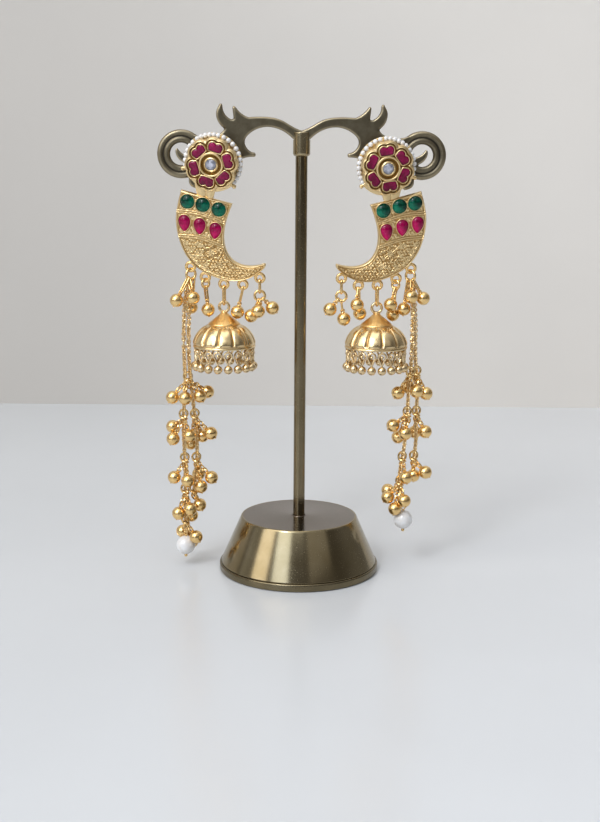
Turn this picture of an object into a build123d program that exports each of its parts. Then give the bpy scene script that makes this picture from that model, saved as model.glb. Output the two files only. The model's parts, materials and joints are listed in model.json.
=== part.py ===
"""A pair of jhumka earrings hung on a small brass display stand.

Millimetres, +Z up, the fronts face -Y. The origin is the centre of the base's underside.
Each earring is drawn as the left-hand one, and the right-hand one is its mirror image.
"""
import os
from math import cos, pi, radians, sin, tan

from build123d import *

os.makedirs("parts", exist_ok=True)

# ---------------------------------------------------------------- stand: driving sizes
BASE_R = 27.7            # radius of the base's foot
BASE_TOP_R = 19.9        # radius of its flat top
BASE_H = 19.0
FOOT_H = 2.4             # height of the upright band round the foot
POLE_R = 2.0
POLE_SEAT_Z = 7.0        # bottom of the pole's blind hole in the base
COLLAR_R = 2.85
COLLAR_Z = (141.9, 149.7)
ARM_T = 2.8              # thickness of the crossbar, front to back
ARM_SEAT_Z = 147.2       # underside of the crossbar inside the collar
SCROLL_X, SCROLL_Z = 39.8, 142.4
CURL_TOP = ((35.7, 141.6), (38.4, 142.0), (40.0, 143.0), (41.1, 144.4))   # the small curl inside the scroll
CURL_FOOT = ((41.7, 143.8), (41.5, 142.1), (40.4, 140.5), (38.4, 139.3), (35.9, 139.0))
SCROLL_RIBS = ((6.9, 1.1), (4.75, 1.15))   # each rib: radius of its run, radius of its section
FIT = 0.03               # clearance of a pressed or set piece, all round

# ---------------------------------------------------------------- earring: where it hangs
ROSETTE_X, ROSETTE_Y, ROSETTE_Z = 28.8, -8.8, 138.55   # centre of the rosette's face
YAW = 9.0                # the face turns outwards
PITCH = 10.0             # and droops forwards, because it hangs from its post

# ---------------------------------------------------------------- rosette, as depths behind the face
FLOOR = 1.0              # floor of the cells
RIM_BACK = 1.6           # back of the scalloped rim
DRUM_R, DRUM_BACK = 8.2, 3.9
PLATE_R, PLATE_BACK = 9.7, 4.6
PETALS = 6
PETAL_WALL = 0.45        # gold wire round each petal
PETAL_GAP = 0.85         # from a petal to the scalloped rim
RIM_W = 1.5              # from a petal to the outside of that rim
RING_R = (3.36, 4.05)    # plain gold ring round the centre stone's setting
BEZEL_R = 2.4
CENTRE_STONE_R = 1.85
PEARL_R, PEARL_RUN_R, PEARL_DEPTH = 0.8, 9.15, 3.0
PEARLS_IN_A_RUN = 5
PEARL_TO_PIN = 7.5       # degrees from a pin to the nearest pearl's centre
PIN_ANGLES = (-48, 14, 70, 127, 190)       # gold pins between the runs of seed pearls
GOLD_PIN_R, GOLD_PIN_L, PIN_SUNK = 0.35, 2.0, 0.3
PETAL_START = 12         # angle of the first petal
TURN = {"left": 0.0, "right": 9.5}         # each rosette's own turn on its setting
FLOWER_AT = {"left": (-0.65, 0.5), "right": (0.55, -0.35)}   # and where it sits over its post: sideways, up

# ---------------------------------------------------------------- claw plate
CLAW_DEPTH = (2.6, 3.8)
SETTING_H = 0.35         # height of a bezel above the plate
CLAW_TOP = ((-11.7, -8.4), (5.3, -12.9))
NECK = ((-4.6, -6.2), (2.2, -6.6), (0.4, -12.4), (-3.4, -11.6))
CLAW_OUTER = ((-11.7, -8.4), (-13.9, -16.5), (-13.4, -25.0), (-9.1, -33.4), (-1.5, -38.0), (5.5, -39.2),
              (11.5, -37.5), (15.2, -34.8))
CLAW_INNER = ((15.2, -33.1), (9.5, -33.8), (4.6, -31.8), (2.3, -27.5), (2.3, -21.5), (5.3, -12.9))
RIDGES = (((-13.7, -15.4), (-6.6, -15.9), (2.7, -19.5)), ((-13.4, -23.7), (-7.0, -24.1), (2.2, -27.4)))
RIDGE_W, RIDGE_H = 1.1, 0.45
EMERALDS = ((-9.6, -12.1), (-4.4, -13.1), (0.9, -14.6))
EMERALD_R, EMERALD_H = 2.4, 1.6
RUBIES = ((-11.0, -19.4, 1), (-5.8, -20.4, 4), (-0.6, -21.9, 8))   # the last number tilts the point outwards
RUBY_R, RUBY_L = 2.05, 5.7
SETTING_T = 0.25         # wall of a bezel
LOOP_R, LOOP_WIRE = 1.42, 0.35
LOOP_AT = (0.50, 0.605, 0.723, 0.835, 0.945)  # along the outer edge, from the top corner to the tip
POST_R, POST_END = 0.45, 14.2
NUT_R, NUT_DEPTH = 2.2, (11.2, 13.4)

# ---------------------------------------------------------------- bell, from its rim's underside
BELL_DROP = 20.1         # from the wire it swings on down to the rim
BELL_LOOP = 2            # which of the claw's loops that wire belongs to
BELL_R = 10.75
BELL_WALL = 0.5
BELL_CAP_R, BELL_CAP_Z, BELL_CAP_TOP = 5.8, 7.5, 11.6
BELL_EYE_R, BELL_EYE_WIRE, BELL_EYE_Z = 1.68, 0.5, 13.6
DROPS = 18
DROP_RUN_R = 9.7
EYELET_R, EYELET_WIRE = 0.95, 0.25
DROP_EYE_R, DROP_EYE_WIRE = 0.6, 0.2
DROP_BALL_R, DROP_BALL_Z = 1.3, -6.4

# ---------------------------------------------------------------- beads, chains and links
BEAD_R = 2.3
EYE_R, EYE_WIRE = 0.6, 0.2
CHAIN_R = 0.6
CHAIN_RING_R = 1.05
DROP_PEARL_R = 3.1
PIN_R = 0.3
SLACK = 0.05             # air between a ring and what it hangs on
RING_WIRE = 0.3
RING_OF = {0: (1.95, 45), 1: (1.5, 45)}    # rings hung straight on a loop: radius, turn about the vertical
LINK_TO_RING = 4.0       # the last loop's ring hangs on a link of this length
LAST_RING_R = 1.7
BEAD_LINK_HALF, RING_LINK_HALF, BELL_LINK_HALF = 0.6, 0.8, 0.95   # half widths of the oval links

# The beads and chains of each earring, drawn as a left-hand one: x, y, z of each centre.
# Top row: x, y, z, the ring it hangs on, and where on that ring (degrees, 270 is the lowest point).
TOP_BEADS = {
    "left": (
        (-41.8, -0.9, 93.9, 0, 225),
        (-36.2, -1.1, 94.8, 0, 245),
        (-37.4, 5.2, 90.9, 0, 300),
        (-31.3, 1.2, 90.6, 1, 270),
        (-21.3, 0.1, 90.0, 3, 270),
        (-14.2, -3.4, 90.7, 4, 280),
        (-16.7, 0.6, 88.7, 4, 250),
        (-9.5, -1.0, 91.6, 4, 320)),
    "right": (
        (-41.7, 2.9, 94.8, 0, 225),
        (-37.2, -1.9, 95.8, 0, 245),
        (-35.2, 2.2, 91.2, 0, 300),
        (-31.6, 4.4, 89.0, 1, 285),
        (-30.5, 0.4, 92.9, 1, 265),
        (-20.2, 2.2, 89.6, 3, 260),
        (-19.1, -1.6, 92.9, 3, 280),
        (-14.7, -0.6, 88.0, 4, 270),
        (-10.0, -1.2, 91.3, 4, 315))}
# Chains: x, y, z of the points their straight runs aim at.
CHAINS = {
    "left": (
        ((-38.3, 2.6, 99.6), (-39.0, 1.4, 94.5), (-39.5, 1.0, 88.0), (-39.7, 1.0, 77.0), (-39.4, 1.0, 65.0),
         (-40.0, 1.0, 54.0), (-39.9, 1.0, 43.0), (-39.6, 1.0, 32.0), (-39.7, 1.0, 22.0), (-39.6, 1.0, 12.6)),
        ((-37.1, 2.0, 99.7), (-37.6, 2.5, 95.0), (-38.0, 2.0, 87.0), (-38.1, 1.8, 76.0), (-37.3, 1.8, 64.0),
         (-36.2, 1.8, 53.0), (-35.5, 1.8, 41.0), (-36.4, 1.8, 30.0), (-36.8, 1.8, 26.0))),
    "right": (
        ((-37.0, 2.1, 99.7), (-37.9, 1.0, 94.0), (-38.2, 1.0, 86.0), (-38.1, 1.0, 74.0), (-37.4, 1.0, 63.0),
         (-37.0, 1.0, 53.0), (-36.1, 1.0, 42.0), (-34.9, 1.0, 32.0), (-35.4, 1.0, 26.0), (-36.3, 1.0, 22.6)),
        ((-38.3, 3.1, 99.6), (-38.7, 2.7, 94.0), (-39.3, 2.4, 85.0), (-39.5, 2.4, 75.0), (-40.5, 2.4, 64.0),
         (-40.3, 2.4, 54.0), (-40.4, 2.4, 45.0), (-39.7, 2.4, 38.0)))}
# Clusters: height of the rings on the chains, then x, y, z of each bead and the chain that carries it.
CLUSTERS = {
    "left": (
        (66.0, ((-43.7, 0.5, 60.3, 0), (-39.1, -2.1, 60.5, 0), (-34.2, -0.2, 60.9, 1), (-31.9, 3.9, 61.7, 1))),
        (53.0, ((-43.6, -0.3, 45.9, 0), (-44.0, 3.0, 49.5, 0), (-37.7, -1.4, 47.2, 0), (-30.6, 0.3, 47.8, 1),
                (-33.8, 4.2, 46.0, 1), (-37.9, 4.3, 43.3, 1))),
        (37.6, ((-43.4, 0.4, 32.0, 0), (-38.5, -2.0, 31.4, 0), (-30.5, 0.6, 32.0, 1), (-34.1, -0.5, 29.0, 1),
                (-35.3, 4.9, 32.2, 1))),
        (26.5, ((-41.9, -1.2, 19.5, 0), (-37.7, -2.2, 21.3, 0), (-34.7, 1.4, 21.9, 1), (-37.8, 3.8, 17.4, 0))),
        (15.5, ((-41.1, 4.9, 11.2, 0), (-35.9, -0.9, 10.9, 0), (-37.9, 6.2, 7.1, 0)))),
    "right": (
        (68.5, ((-33.7, 0.3, 62.5, 0), (-39.9, -0.9, 63.3, 1), (-43.5, 2.3, 62.0, 1), (-37.5, 4.2, 63.8, 0))),
        (54.5, ((-32.2, -0.3, 51.2, 0), (-36.3, -2.2, 48.8, 0), (-34.3, 3.3, 46.3, 0), (-43.5, 1.5, 48.7, 1),
                (-40.3, 5.5, 47.7, 1))),
        (38.6, ((-36.9, -1.4, 33.0, 0), (-39.9, 2.6, 32.8, 1), (-43.8, 0.4, 34.5, 1))),
        (30.0, ((-31.3, 5.5, 26.6, 0), (-31.0, 0.9, 25.3, 0), (-33.4, -0.8, 21.6, 0), (-36.5, -2.2, 24.9, 0))))}
PEARL_DROPS = {"left": (-39.7, 1.0, 7.4), "right": (-36.5, 1.0, 17.3)}

SIDES = ("left", "right")
FRONT = Plane.XZ         # +Z of this plane is the front, so a depth is an offset backwards
SIDEWAYS = Vector(1, 0, 0)
yaw, pitch = radians(YAW), radians(PITCH)
EARRING = Plane(origin=(-ROSETTE_X, ROSETTE_Y, ROSETTE_Z), x_dir=(cos(yaw), -sin(yaw), 0),
                z_dir=(-sin(pitch) * sin(yaw), -sin(pitch) * cos(yaw), cos(pitch)))
SWING_AXIS = EARRING.x_dir


def at_depth(depth, shift=(0, 0)):
    """The plane that lies the given depth behind the rosette's face, moved sideways and up by the shift."""
    return Plane(origin=(shift[0], depth, shift[1]), x_dir=(1, 0, 0), z_dir=(0, -1, 0))


def flower_plane(side):
    """The plane of one earring's rosette, which sits a little off its post."""
    across, up = FLOWER_AT[side]
    return Plane(origin=EARRING.from_local_coords(Vector(across, 0, up)), x_dir=EARRING.x_dir, z_dir=EARRING.z_dir)


def finish(name, label, side="left", plane=None):
    """Put a finished piece in its place, label it and write it."""
    if plane:
        name.part = name.part.moved(plane.location)
    if side == "right":
        name.part = mirror(name.part, about=Plane.YZ)
    name.part.label = label
    export_step(name.part, f"parts/{label}.step")


# ================================================================ stand
with BuildPart() as stand_base:
    with BuildSketch(Plane.XZ):
        with BuildLine():
            Polyline((0, 0), (BASE_R, 0), (BASE_R, FOOT_H), (BASE_R - 0.5, FOOT_H + 0.4),
                     (BASE_TOP_R, BASE_H), (0, BASE_H), close=True)
        make_face()
    revolve(axis=Axis.Z)
    fillet(stand_base.edges().group_by(Axis.Z)[-1], 0.6)
    with Locations((0, 0, BASE_H)):
        Hole(POLE_R + FIT, depth=BASE_H - POLE_SEAT_Z)
finish(stand_base, "stand_base")

with BuildPart() as stand_pole:
    with Locations((0, 0, POLE_SEAT_Z)):
        Cylinder(POLE_R, ARM_SEAT_Z - 1 - POLE_SEAT_Z, align=(Align.CENTER, Align.CENTER, Align.MIN))
finish(stand_pole, "stand_pole")

with BuildPart() as stand_collar:
    with Locations((0, 0, COLLAR_Z[0])):
        Cylinder(COLLAR_R, COLLAR_Z[1] - COLLAR_Z[0], align=(Align.CENTER, Align.CENTER, Align.MIN))
    fillet(stand_collar.edges().group_by(Axis.Z)[0], 1.0)
    fillet(stand_collar.edges().group_by(Axis.Z)[-1], 0.3)
    with Locations((0, 0, COLLAR_Z[0])):
        Cylinder(POLE_R + FIT, ARM_SEAT_Z - 1 - COLLAR_Z[0], align=(Align.CENTER, Align.CENTER, Align.MIN),
                 mode=Mode.SUBTRACT)
    with Locations((0, 0, ARM_SEAT_Z)):
        Box(4 * COLLAR_R, ARM_T + 2 * FIT, 4, align=(Align.CENTER, Align.CENTER, Align.MIN), mode=Mode.SUBTRACT)
finish(stand_collar, "stand_collar")


def scroll_point(radius, angle):
    """A point of the right-hand scroll, by its radius and angle about the scroll's centre."""
    return SCROLL_X + radius * cos(radians(angle)), SCROLL_Z + radius * sin(radians(angle))


with BuildPart() as stand_crossbar:
    with BuildSketch(Plane.XZ):
        with BuildLine():
            Spline((0, 150.2), (3.2, 151.6), (6.6, 153.5), (12.5, 154.6), (17.6, 154.4))
            Spline((17.6, 154.4), (20.0, 155.7), (21.8, 157.7))
            ThreePointArc((21.8, 157.7), (22.6, 157.9), (22.8, 157.1))
            Spline((22.8, 157.1), (22.6, 155.5), (22.4, 153.8))
            Line((22.4, 153.8), (23.3, 153.7))
            Spline((23.3, 153.7), (25.2, 155.2), (26.1, 158.2))
            ThreePointArc((26.1, 158.2), (26.7, 158.8), (27.2, 158.1))
            Spline((27.2, 158.1), (28.2, 155.6), (27.5, 152.8), (25.4, 150.6))
            Spline((25.4, 150.6), (28.4, 148.3), (32.0, 147.9), scroll_point(7.4, 118))
            ThreePointArc(scroll_point(7.4, 118), scroll_point(7.4, 180), scroll_point(7.4, 248))
            Spline(scroll_point(7.4, 248), (37.0, 132.4), (34.2, 131.1))
            Spline((34.2, 131.1), (30.5, 133.6), (24.5, 136.4), (20.2, 140.6), (18.2, 141.4), (16.2, 141.6))
            ThreePointArc((16.2, 141.6), (15.1, 142.2), (15.6, 143.0))
            Spline((15.6, 143.0), (17.6, 143.9), (18.8, 146.6), (16.4, 149.7), (11.4, 151.3), (6.6, 150.2),
                   (3.4, 148.0), (2.6, ARM_SEAT_Z))
            Line((2.6, ARM_SEAT_Z), (0, ARM_SEAT_Z))
            Line((0, ARM_SEAT_Z), (0, 150.2))
        make_face()
        mirror(about=Plane.YZ)
    extrude(amount=ARM_T / 2, both=True)
    chamfer(stand_crossbar.faces().filter_by(Axis.Y).edges(), 0.4)
    for way in (-1, 1):
        with BuildSketch(Plane.XZ):
            with Locations((way * SCROLL_X, SCROLL_Z)):
                Circle(7.4)
                Circle(4.4, mode=Mode.SUBTRACT)
        extrude(amount=0.7, both=True)
        for run_r, section_r in SCROLL_RIBS:
            with Locations(Location((way * SCROLL_X, 0, SCROLL_Z), (90, 0, 0))):
                Torus(run_r, section_r)
        with BuildSketch(Plane.XZ):
            with BuildLine():
                Spline(*[(way * x, z) for x, z in CURL_TOP])
                Line((way * CURL_TOP[-1][0], CURL_TOP[-1][1]), (way * CURL_FOOT[0][0], CURL_FOOT[0][1]))
                Spline(*[(way * x, z) for x, z in CURL_FOOT])
                Line((way * CURL_FOOT[-1][0], CURL_FOOT[-1][1]), (way * CURL_TOP[0][0], CURL_TOP[0][1]))
            make_face()
        extrude(amount=0.8, both=True)
    post_hole = Plane(origin=EARRING.origin, z_dir=EARRING.y_dir)
    for plane in (post_hole, Plane(origin=(ROSETTE_X, ROSETTE_Y, ROSETTE_Z),
                                   z_dir=(-EARRING.y_dir.X, EARRING.y_dir.Y, EARRING.y_dir.Z))):
        with Locations(plane):
            Cylinder(POST_R + 0.15, 40, mode=Mode.SUBTRACT)
finish(stand_crossbar, "stand_crossbar")


# ================================================================ rosette and claw, face to the front
def petal(grow):
    """One heart-cleft petal pointing along +X of its sketch, grown by the given amount."""
    with BuildSketch(mode=Mode.PRIVATE) as cell:
        with BuildLine():
            Line((4.35, 0), (4.45, 2.0))
            Line((4.45, 2.0), (6.0, 2.38))
            ThreePointArc((6.0, 2.38), (7.2, 1.35), (6.6, 0))
            mirror(about=Plane.XZ)
        make_face()
        if grow:
            offset(amount=grow)
    return cell.sketch


def petals(grow, turn):
    """All the petals' outlines, as one sketch."""
    with BuildSketch(mode=Mode.PRIVATE) as flower:
        with PolarLocations(0, PETALS, start_angle=PETAL_START + turn):
            add(petal(grow))
    return flower.sketch


def claw_face():
    """The claw plate's outline."""
    with BuildSketch(mode=Mode.PRIVATE) as face:
        with BuildLine():
            Spline(*CLAW_OUTER)
            Line(CLAW_OUTER[-1], CLAW_INNER[0])
            Spline(*CLAW_INNER)
            Line(*CLAW_TOP)
        make_face()
    return face.sketch


def ruby_face(grow):
    """A pear outline whose point is downwards, grown by the given amount."""
    point = RUBY_L - RUBY_R
    rise = RUBY_R * RUBY_R / point
    touch = RUBY_R * (1 - (RUBY_R / point) ** 2) ** 0.5
    lift = RUBY_L / 2 - RUBY_R
    with BuildSketch(mode=Mode.PRIVATE) as face:
        with BuildLine():
            Line((0, lift - point), (touch, lift - rise))
            ThreePointArc((touch, lift - rise), (0, lift + RUBY_R), (-touch, lift - rise))
            Line((-touch, lift - rise), (0, lift - point))
        make_face()
        offset(amount=grow - 0.2)
        offset(amount=0.2)
    return face.sketch


def ruby_places():
    """Where the pear rubies sit on the claw's face, each with its own tilt."""
    return [Location((x, z, 0), (0, 0, -tilt)) for x, z, tilt in RUBIES]


with BuildLine() as outer_edge:
    Spline(*CLAW_OUTER)


def loop_centre(index):
    """Centre of a soldered loop, just outside the claw's lower edge."""
    edge = outer_edge.line @ LOOP_AT[index]
    along = outer_edge.line % LOOP_AT[index]
    out = Vector(along.Y, -along.X)
    centre = edge + out * (LOOP_R - 0.05)
    return Vector(centre.X, sum(CLAW_DEPTH) / 2, centre.Y)


def ear_frame(side):
    """The gold frame: everything that is soldered together, from the rosette to the loops."""
    turn, shift = TURN[side], FLOWER_AT[side]
    with BuildPart() as frame:
        # drum, back plate, scalloped rim
        with BuildSketch(at_depth(DRUM_BACK, shift)):
            Circle(DRUM_R)
        extrude(amount=DRUM_BACK - RIM_BACK)
        with BuildSketch(at_depth(PLATE_BACK, shift)):
            Circle(PLATE_R)
        extrude(amount=PLATE_BACK - DRUM_BACK)
        with BuildSketch(at_depth(RIM_BACK, shift)):
            Circle(7.9)
            add(petals(RIM_W, turn))
        extrude(amount=RIM_BACK)
        # the sunk cells and the walls that stand in them
        with BuildSketch(at_depth(0, shift)):
            Circle(RING_R[1])
            add(petals(PETAL_GAP, turn))
        extrude(amount=-FLOOR, mode=Mode.SUBTRACT)
        with BuildSketch(at_depth(FLOOR, shift)):
            add(petals(PETAL_WALL, turn))
            add(petals(FIT, turn), mode=Mode.SUBTRACT)
            Circle(RING_R[1])
            Circle(RING_R[0], mode=Mode.SUBTRACT)
            Circle(BEZEL_R)
            Circle(CENTRE_STONE_R + FIT, mode=Mode.SUBTRACT)
        extrude(amount=FLOOR - 0.05)
        # gold pins between the runs of seed pearls
        for angle in PIN_ANGLES:
            out = Vector(cos(radians(angle + turn)), 0, sin(radians(angle + turn)))
            start = out * (DRUM_R - PIN_SUNK) + Vector(shift[0], PEARL_DEPTH, shift[1])
            with Locations(Plane(origin=start, z_dir=out)):
                Cylinder(GOLD_PIN_R, GOLD_PIN_L, align=(Align.CENTER, Align.CENTER, Align.MIN))
        # neck and claw plate
        with BuildSketch(at_depth(CLAW_DEPTH[1] + 0.3)):
            with BuildLine():
                Polyline(*NECK, close=True)
            make_face()
        extrude(amount=CLAW_DEPTH[1] - CLAW_DEPTH[0] + 0.3)
        with BuildSketch(at_depth(CLAW_DEPTH[1])):
            add(claw_face())
        extrude(amount=CLAW_DEPTH[1] - CLAW_DEPTH[0])
        for ridge in RIDGES:
            upper, lower = [[(x, z + rise) for x, z in ridge] for rise in (RIDGE_W / 2, -RIDGE_W / 2)]
            with BuildSketch(at_depth(CLAW_DEPTH[0] + 0.1)):
                with BuildLine():
                    Spline(*upper)
                    Line(upper[-1], lower[-1])
                    Spline(*lower)
                    Line(lower[0], upper[0])
                make_face()
            extrude(amount=RIDGE_H + 0.1)
        with BuildSketch(at_depth(CLAW_DEPTH[0])):
            with Locations(*EMERALDS):
                Circle(EMERALD_R + FIT + SETTING_T)
            with Locations(*ruby_places()):
                add(ruby_face(FIT + SETTING_T))
        extrude(amount=SETTING_H)
        with BuildSketch(at_depth(CLAW_DEPTH[0])):
            with Locations(*EMERALDS):
                Circle(EMERALD_R + FIT)
            with Locations(*ruby_places()):
                add(ruby_face(FIT))
        extrude(amount=SETTING_H, mode=Mode.SUBTRACT)
        # soldered loops and the ear post
        for index in range(len(LOOP_AT)):
            with Locations(Plane(origin=loop_centre(index), z_dir=(0, 1, 0))):
                Torus(LOOP_R, LOOP_WIRE)
        with Locations(Plane(origin=(0, PLATE_BACK - 0.2, 0), z_dir=(0, 1, 0))):
            Cylinder(POST_R, POST_END - PLATE_BACK, align=(Align.CENTER, Align.CENTER, Align.MIN))
    return frame


def ear_stones(side):
    """The set stones of one earring: petals, centre stone, seed pearls, emeralds and pear rubies."""
    turn = TURN[side]
    with BuildPart() as petal_rubies:
        with BuildSketch(at_depth(FLOOR)):
            add(petals(0, turn))
        extrude(amount=FLOOR + 0.05)
    finish(petal_rubies, f"petal_rubies_{side}", side, flower_plane(side))

    with BuildPart() as centre_stone:
        with BuildSketch(Plane.XY):
            with BuildLine():
                Polyline((0, FLOOR), (CENTRE_STONE_R * 0.6, FLOOR), (CENTRE_STONE_R, 0.2), (CENTRE_STONE_R, 0),
                         (CENTRE_STONE_R * 0.6, -0.5), (0, -0.5), close=True)
            make_face()
        revolve(axis=Axis.Y)
    finish(centre_stone, f"centre_stone_{side}", side, flower_plane(side))

    with BuildPart() as seed_pearls:
        for first, last in zip(PIN_ANGLES, PIN_ANGLES[1:]):
            for step in range(PEARLS_IN_A_RUN):
                share = step / (PEARLS_IN_A_RUN - 1)
                angle = radians(turn + first + PEARL_TO_PIN + share * (last - first - 2 * PEARL_TO_PIN))
                with Locations((PEARL_RUN_R * cos(angle), PEARL_DEPTH, PEARL_RUN_R * sin(angle))):
                    Sphere(PEARL_R)
    finish(seed_pearls, f"seed_pearls_{side}", side, flower_plane(side))

    with BuildPart() as emeralds:
        for x, z in EMERALDS:
            base = CLAW_DEPTH[0]
            with BuildSketch(Plane.XY.offset(z)):
                with BuildLine():
                    Polyline((x, base - EMERALD_H), (x, base), (x + EMERALD_R, base),
                             (x + EMERALD_R, base - SETTING_H))
                    Spline((x + EMERALD_R, base - SETTING_H), (x, base - EMERALD_H),
                           tangents=((0, -1), (-1, 0)))
                make_face()
            revolve(axis=Axis((x, 0, z), (0, 1, 0)))
    finish(emeralds, f"emeralds_{side}", side, EARRING)

    with BuildPart() as claw_rubies:
        with BuildSketch(at_depth(CLAW_DEPTH[0])):
            with Locations(*ruby_places()):
                add(ruby_face(0))
        extrude(amount=SETTING_H)
        with BuildSketch(at_depth(CLAW_DEPTH[0] - SETTING_H)):
            with Locations(*ruby_places()):
                add(ruby_face(0))
        extrude(amount=1.0, taper=38)
    finish(claw_rubies, f"claw_rubies_{side}", side, EARRING)


def ear_nut(side):
    """The push-back nut on the post, behind the crossbar."""
    with BuildPart() as nut:
        with Locations(Plane(origin=(0, NUT_DEPTH[0], 0), z_dir=(0, 1, 0))):
            Cylinder(NUT_R, NUT_DEPTH[1] - NUT_DEPTH[0], align=(Align.CENTER, Align.CENTER, Align.MIN))
        fillet(nut.edges().filter_by(GeomType.CIRCLE), 0.6)
        with Locations(Plane(origin=(0, NUT_DEPTH[0], 0), z_dir=(0, 1, 0))):
            Cylinder(POST_R + FIT, 10, mode=Mode.SUBTRACT)
    finish(nut, f"ear_nut_{side}", side, EARRING)


# ================================================================ links, rings, beads
def oval_link(low, high, across, half_width, wire):
    """An oval link between two end runs, lying in the plane of its length and the given direction."""
    length = (high - low).length
    half = min(half_width, length / 2 - 0.05)
    flat = Plane(origin=low, x_dir=high - low, z_dir=(high - low).cross(across))
    with BuildPart(mode=Mode.PRIVATE) as link:
        with BuildLine(flat) as path:
            Line((half, -half), (length - half, -half))
            ThreePointArc((length - half, -half), (length, 0), (length - half, half))
            Line((length - half, half), (half, half))
            ThreePointArc((half, half), (0, 0), (half, -half))
        with BuildSketch(Plane(origin=path.line @ 0, z_dir=path.line % 0)):
            Circle(wire)
        sweep(path=path.line)
    return link.part


def ring(centre, normal, radius, wire):
    """A round ring."""
    with BuildPart(mode=Mode.PRIVATE) as hoop:
        with Locations(Plane(origin=centre, z_dir=normal)):
            Torus(radius, wire)
    return hoop.part


def bead_with_eye(centre, target, run=SIDEWAYS):
    """A ball bead whose soldered eye points at the target and lies along the run of the wire there."""
    to_target = (target - centre).normalized()
    flat = to_target.cross(run).cross(to_target).normalized()
    with BuildPart(mode=Mode.PRIVATE) as bead:
        with Locations(centre):
            Sphere(BEAD_R)
        add(ring(centre + to_target * (BEAD_R + EYE_R - 0.05), to_target.cross(flat), EYE_R, EYE_WIRE))
    return bead.part


def loop_wire(index):
    """The lowest point of a soldered loop's wire, in the stand's frame."""
    return EARRING.from_local_coords(loop_centre(index) - Vector(0, 0, LOOP_R))


def hanging_ring(index):
    """Centre, radius and sideways direction of the ring that beads of this loop hang on."""
    wire = loop_wire(index)
    if index in RING_OF:
        radius, turned = RING_OF[index]
        centre = wire + Vector(0, 0, LOOP_WIRE + RING_WIRE + SLACK - radius)
        return centre, radius, Vector(cos(radians(turned)), sin(radians(turned)), 0)
    if index == len(LOOP_AT) - 1:
        top = wire - Vector(0, 0, LINK_TO_RING - LOOP_WIRE - 2 * RING_WIRE)
        return top - Vector(0, 0, LAST_RING_R), LAST_RING_R, SIDEWAYS
    return wire + Vector(0, 0, LOOP_R), LOOP_R, EARRING.x_dir


def ear_links(side):
    """The rings on the loops and the oval links that carry the top row of beads."""
    with BuildPart() as links:
        for index in sorted(RING_OF) + [len(LOOP_AT) - 1]:
            centre, radius, flat = hanging_ring(index)
            add(ring(centre, flat.cross(Vector(0, 0, 1)), radius, RING_WIRE))
        wire = loop_wire(len(LOOP_AT) - 1)
        grip = Vector(0, 0, LOOP_WIRE + RING_WIRE + SLACK)
        centre, radius, flat = hanging_ring(len(LOOP_AT) - 1)
        add(oval_link(centre + Vector(0, 0, radius) - grip + Vector(0, 0, SLACK), wire + grip,
                      Vector(0, 1, 0), RING_LINK_HALF, RING_WIRE))
        for x, y, z, index, where in TOP_BEADS[side]:
            bead = Vector(x, y, z)
            hold, run = hold_point(index, where)
            up = (hold - bead).normalized()
            eye_top = bead + up * (BEAD_R + 2 * EYE_R - 0.05)
            add(oval_link(eye_top - up * (2 * EYE_WIRE + SLACK), hold + up * (LOOP_WIRE + EYE_WIRE + SLACK),
                          up.cross(run), BEAD_LINK_HALF, EYE_WIRE))
    finish(links, f"links_{side}", side)


def hold_point(index, where):
    """A point on the wire of a hanging ring, by its angle, and the run of the wire there."""
    centre, radius, flat = hanging_ring(index)
    across, up = cos(radians(where)), sin(radians(where))
    return centre + flat * (radius * across) + Vector(0, 0, radius * up), Vector(0, 0, across) - flat * up


def ear_top_beads(side):
    """The top row of ball beads, each a piece of its own."""
    for number, (x, y, z, index, where) in enumerate(TOP_BEADS[side], start=1):
        with BuildPart() as top_bead:
            add(bead_with_eye(Vector(x, y, z), *hold_point(index, where)))
        finish(top_bead, f"top_bead_{side}_{number}", side)


# ================================================================ chains, clusters, pearl drops
def chain_path(points):
    """Straight runs joined by arcs that are as large as the runs allow."""
    corners = [Vector(*point) for point in points]
    radii = []
    for before, corner, after in zip(corners, corners[1:], corners[2:]):
        run = min((corner - before).length, (after - corner).length)
        turn = radians((corner - before).get_angle(after - corner))
        radii.append(0.45 * run / tan(turn / 2))
    with BuildLine(mode=Mode.PRIVATE) as path:
        FilletPolyline(*corners, radius=radii)
    return path.wire(), radii


def chain_at(points, height):
    """Where a chain is at the given height."""
    for (x0, y0, z0), (x1, y1, z1) in zip(points, points[1:]):
        if z1 <= height <= z0:
            share = (height - z0) / (z1 - z0)
            return Vector(x0 + share * (x1 - x0), y0 + share * (y1 - y0), height)
    return Vector(*points[-1])


def ear_chains(side):
    """The two fine chains, each as one plain cord of the chain's width."""
    for number, points in enumerate(CHAINS[side], start=1):
        path, radii = chain_path(points)
        print("chain", side, number, "smallest radius", round(min(radii), 1), "length", round(path.length, 1))
        with BuildPart() as chain:
            with BuildSketch(Plane(origin=path @ 0, z_dir=path % 0)):
                Circle(CHAIN_R)
            sweep(path=path)
        print("  volume", round(chain.part.volume, 1), "section x length", round(pi * CHAIN_R ** 2 * path.length, 1))
        finish(chain, f"chain_{side}_{number}", side)


def ear_clusters(side):
    """The clusters of ball beads, each with the rings round the chains that carry it."""
    for number, (height, beads) in enumerate(CLUSTERS[side], start=1):
        with BuildPart() as cluster:
            for carrier in sorted({bead[3] for bead in beads}):
                add(ring(chain_at(CHAINS[side][carrier], height), (0, 0, 1), CHAIN_RING_R, EYE_WIRE))
            for x, y, z, carrier in beads:
                add(bead_with_eye(Vector(x, y, z), chain_at(CHAINS[side][carrier], height)))
        finish(cluster, f"bead_cluster_{side}_{number}", side)


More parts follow.
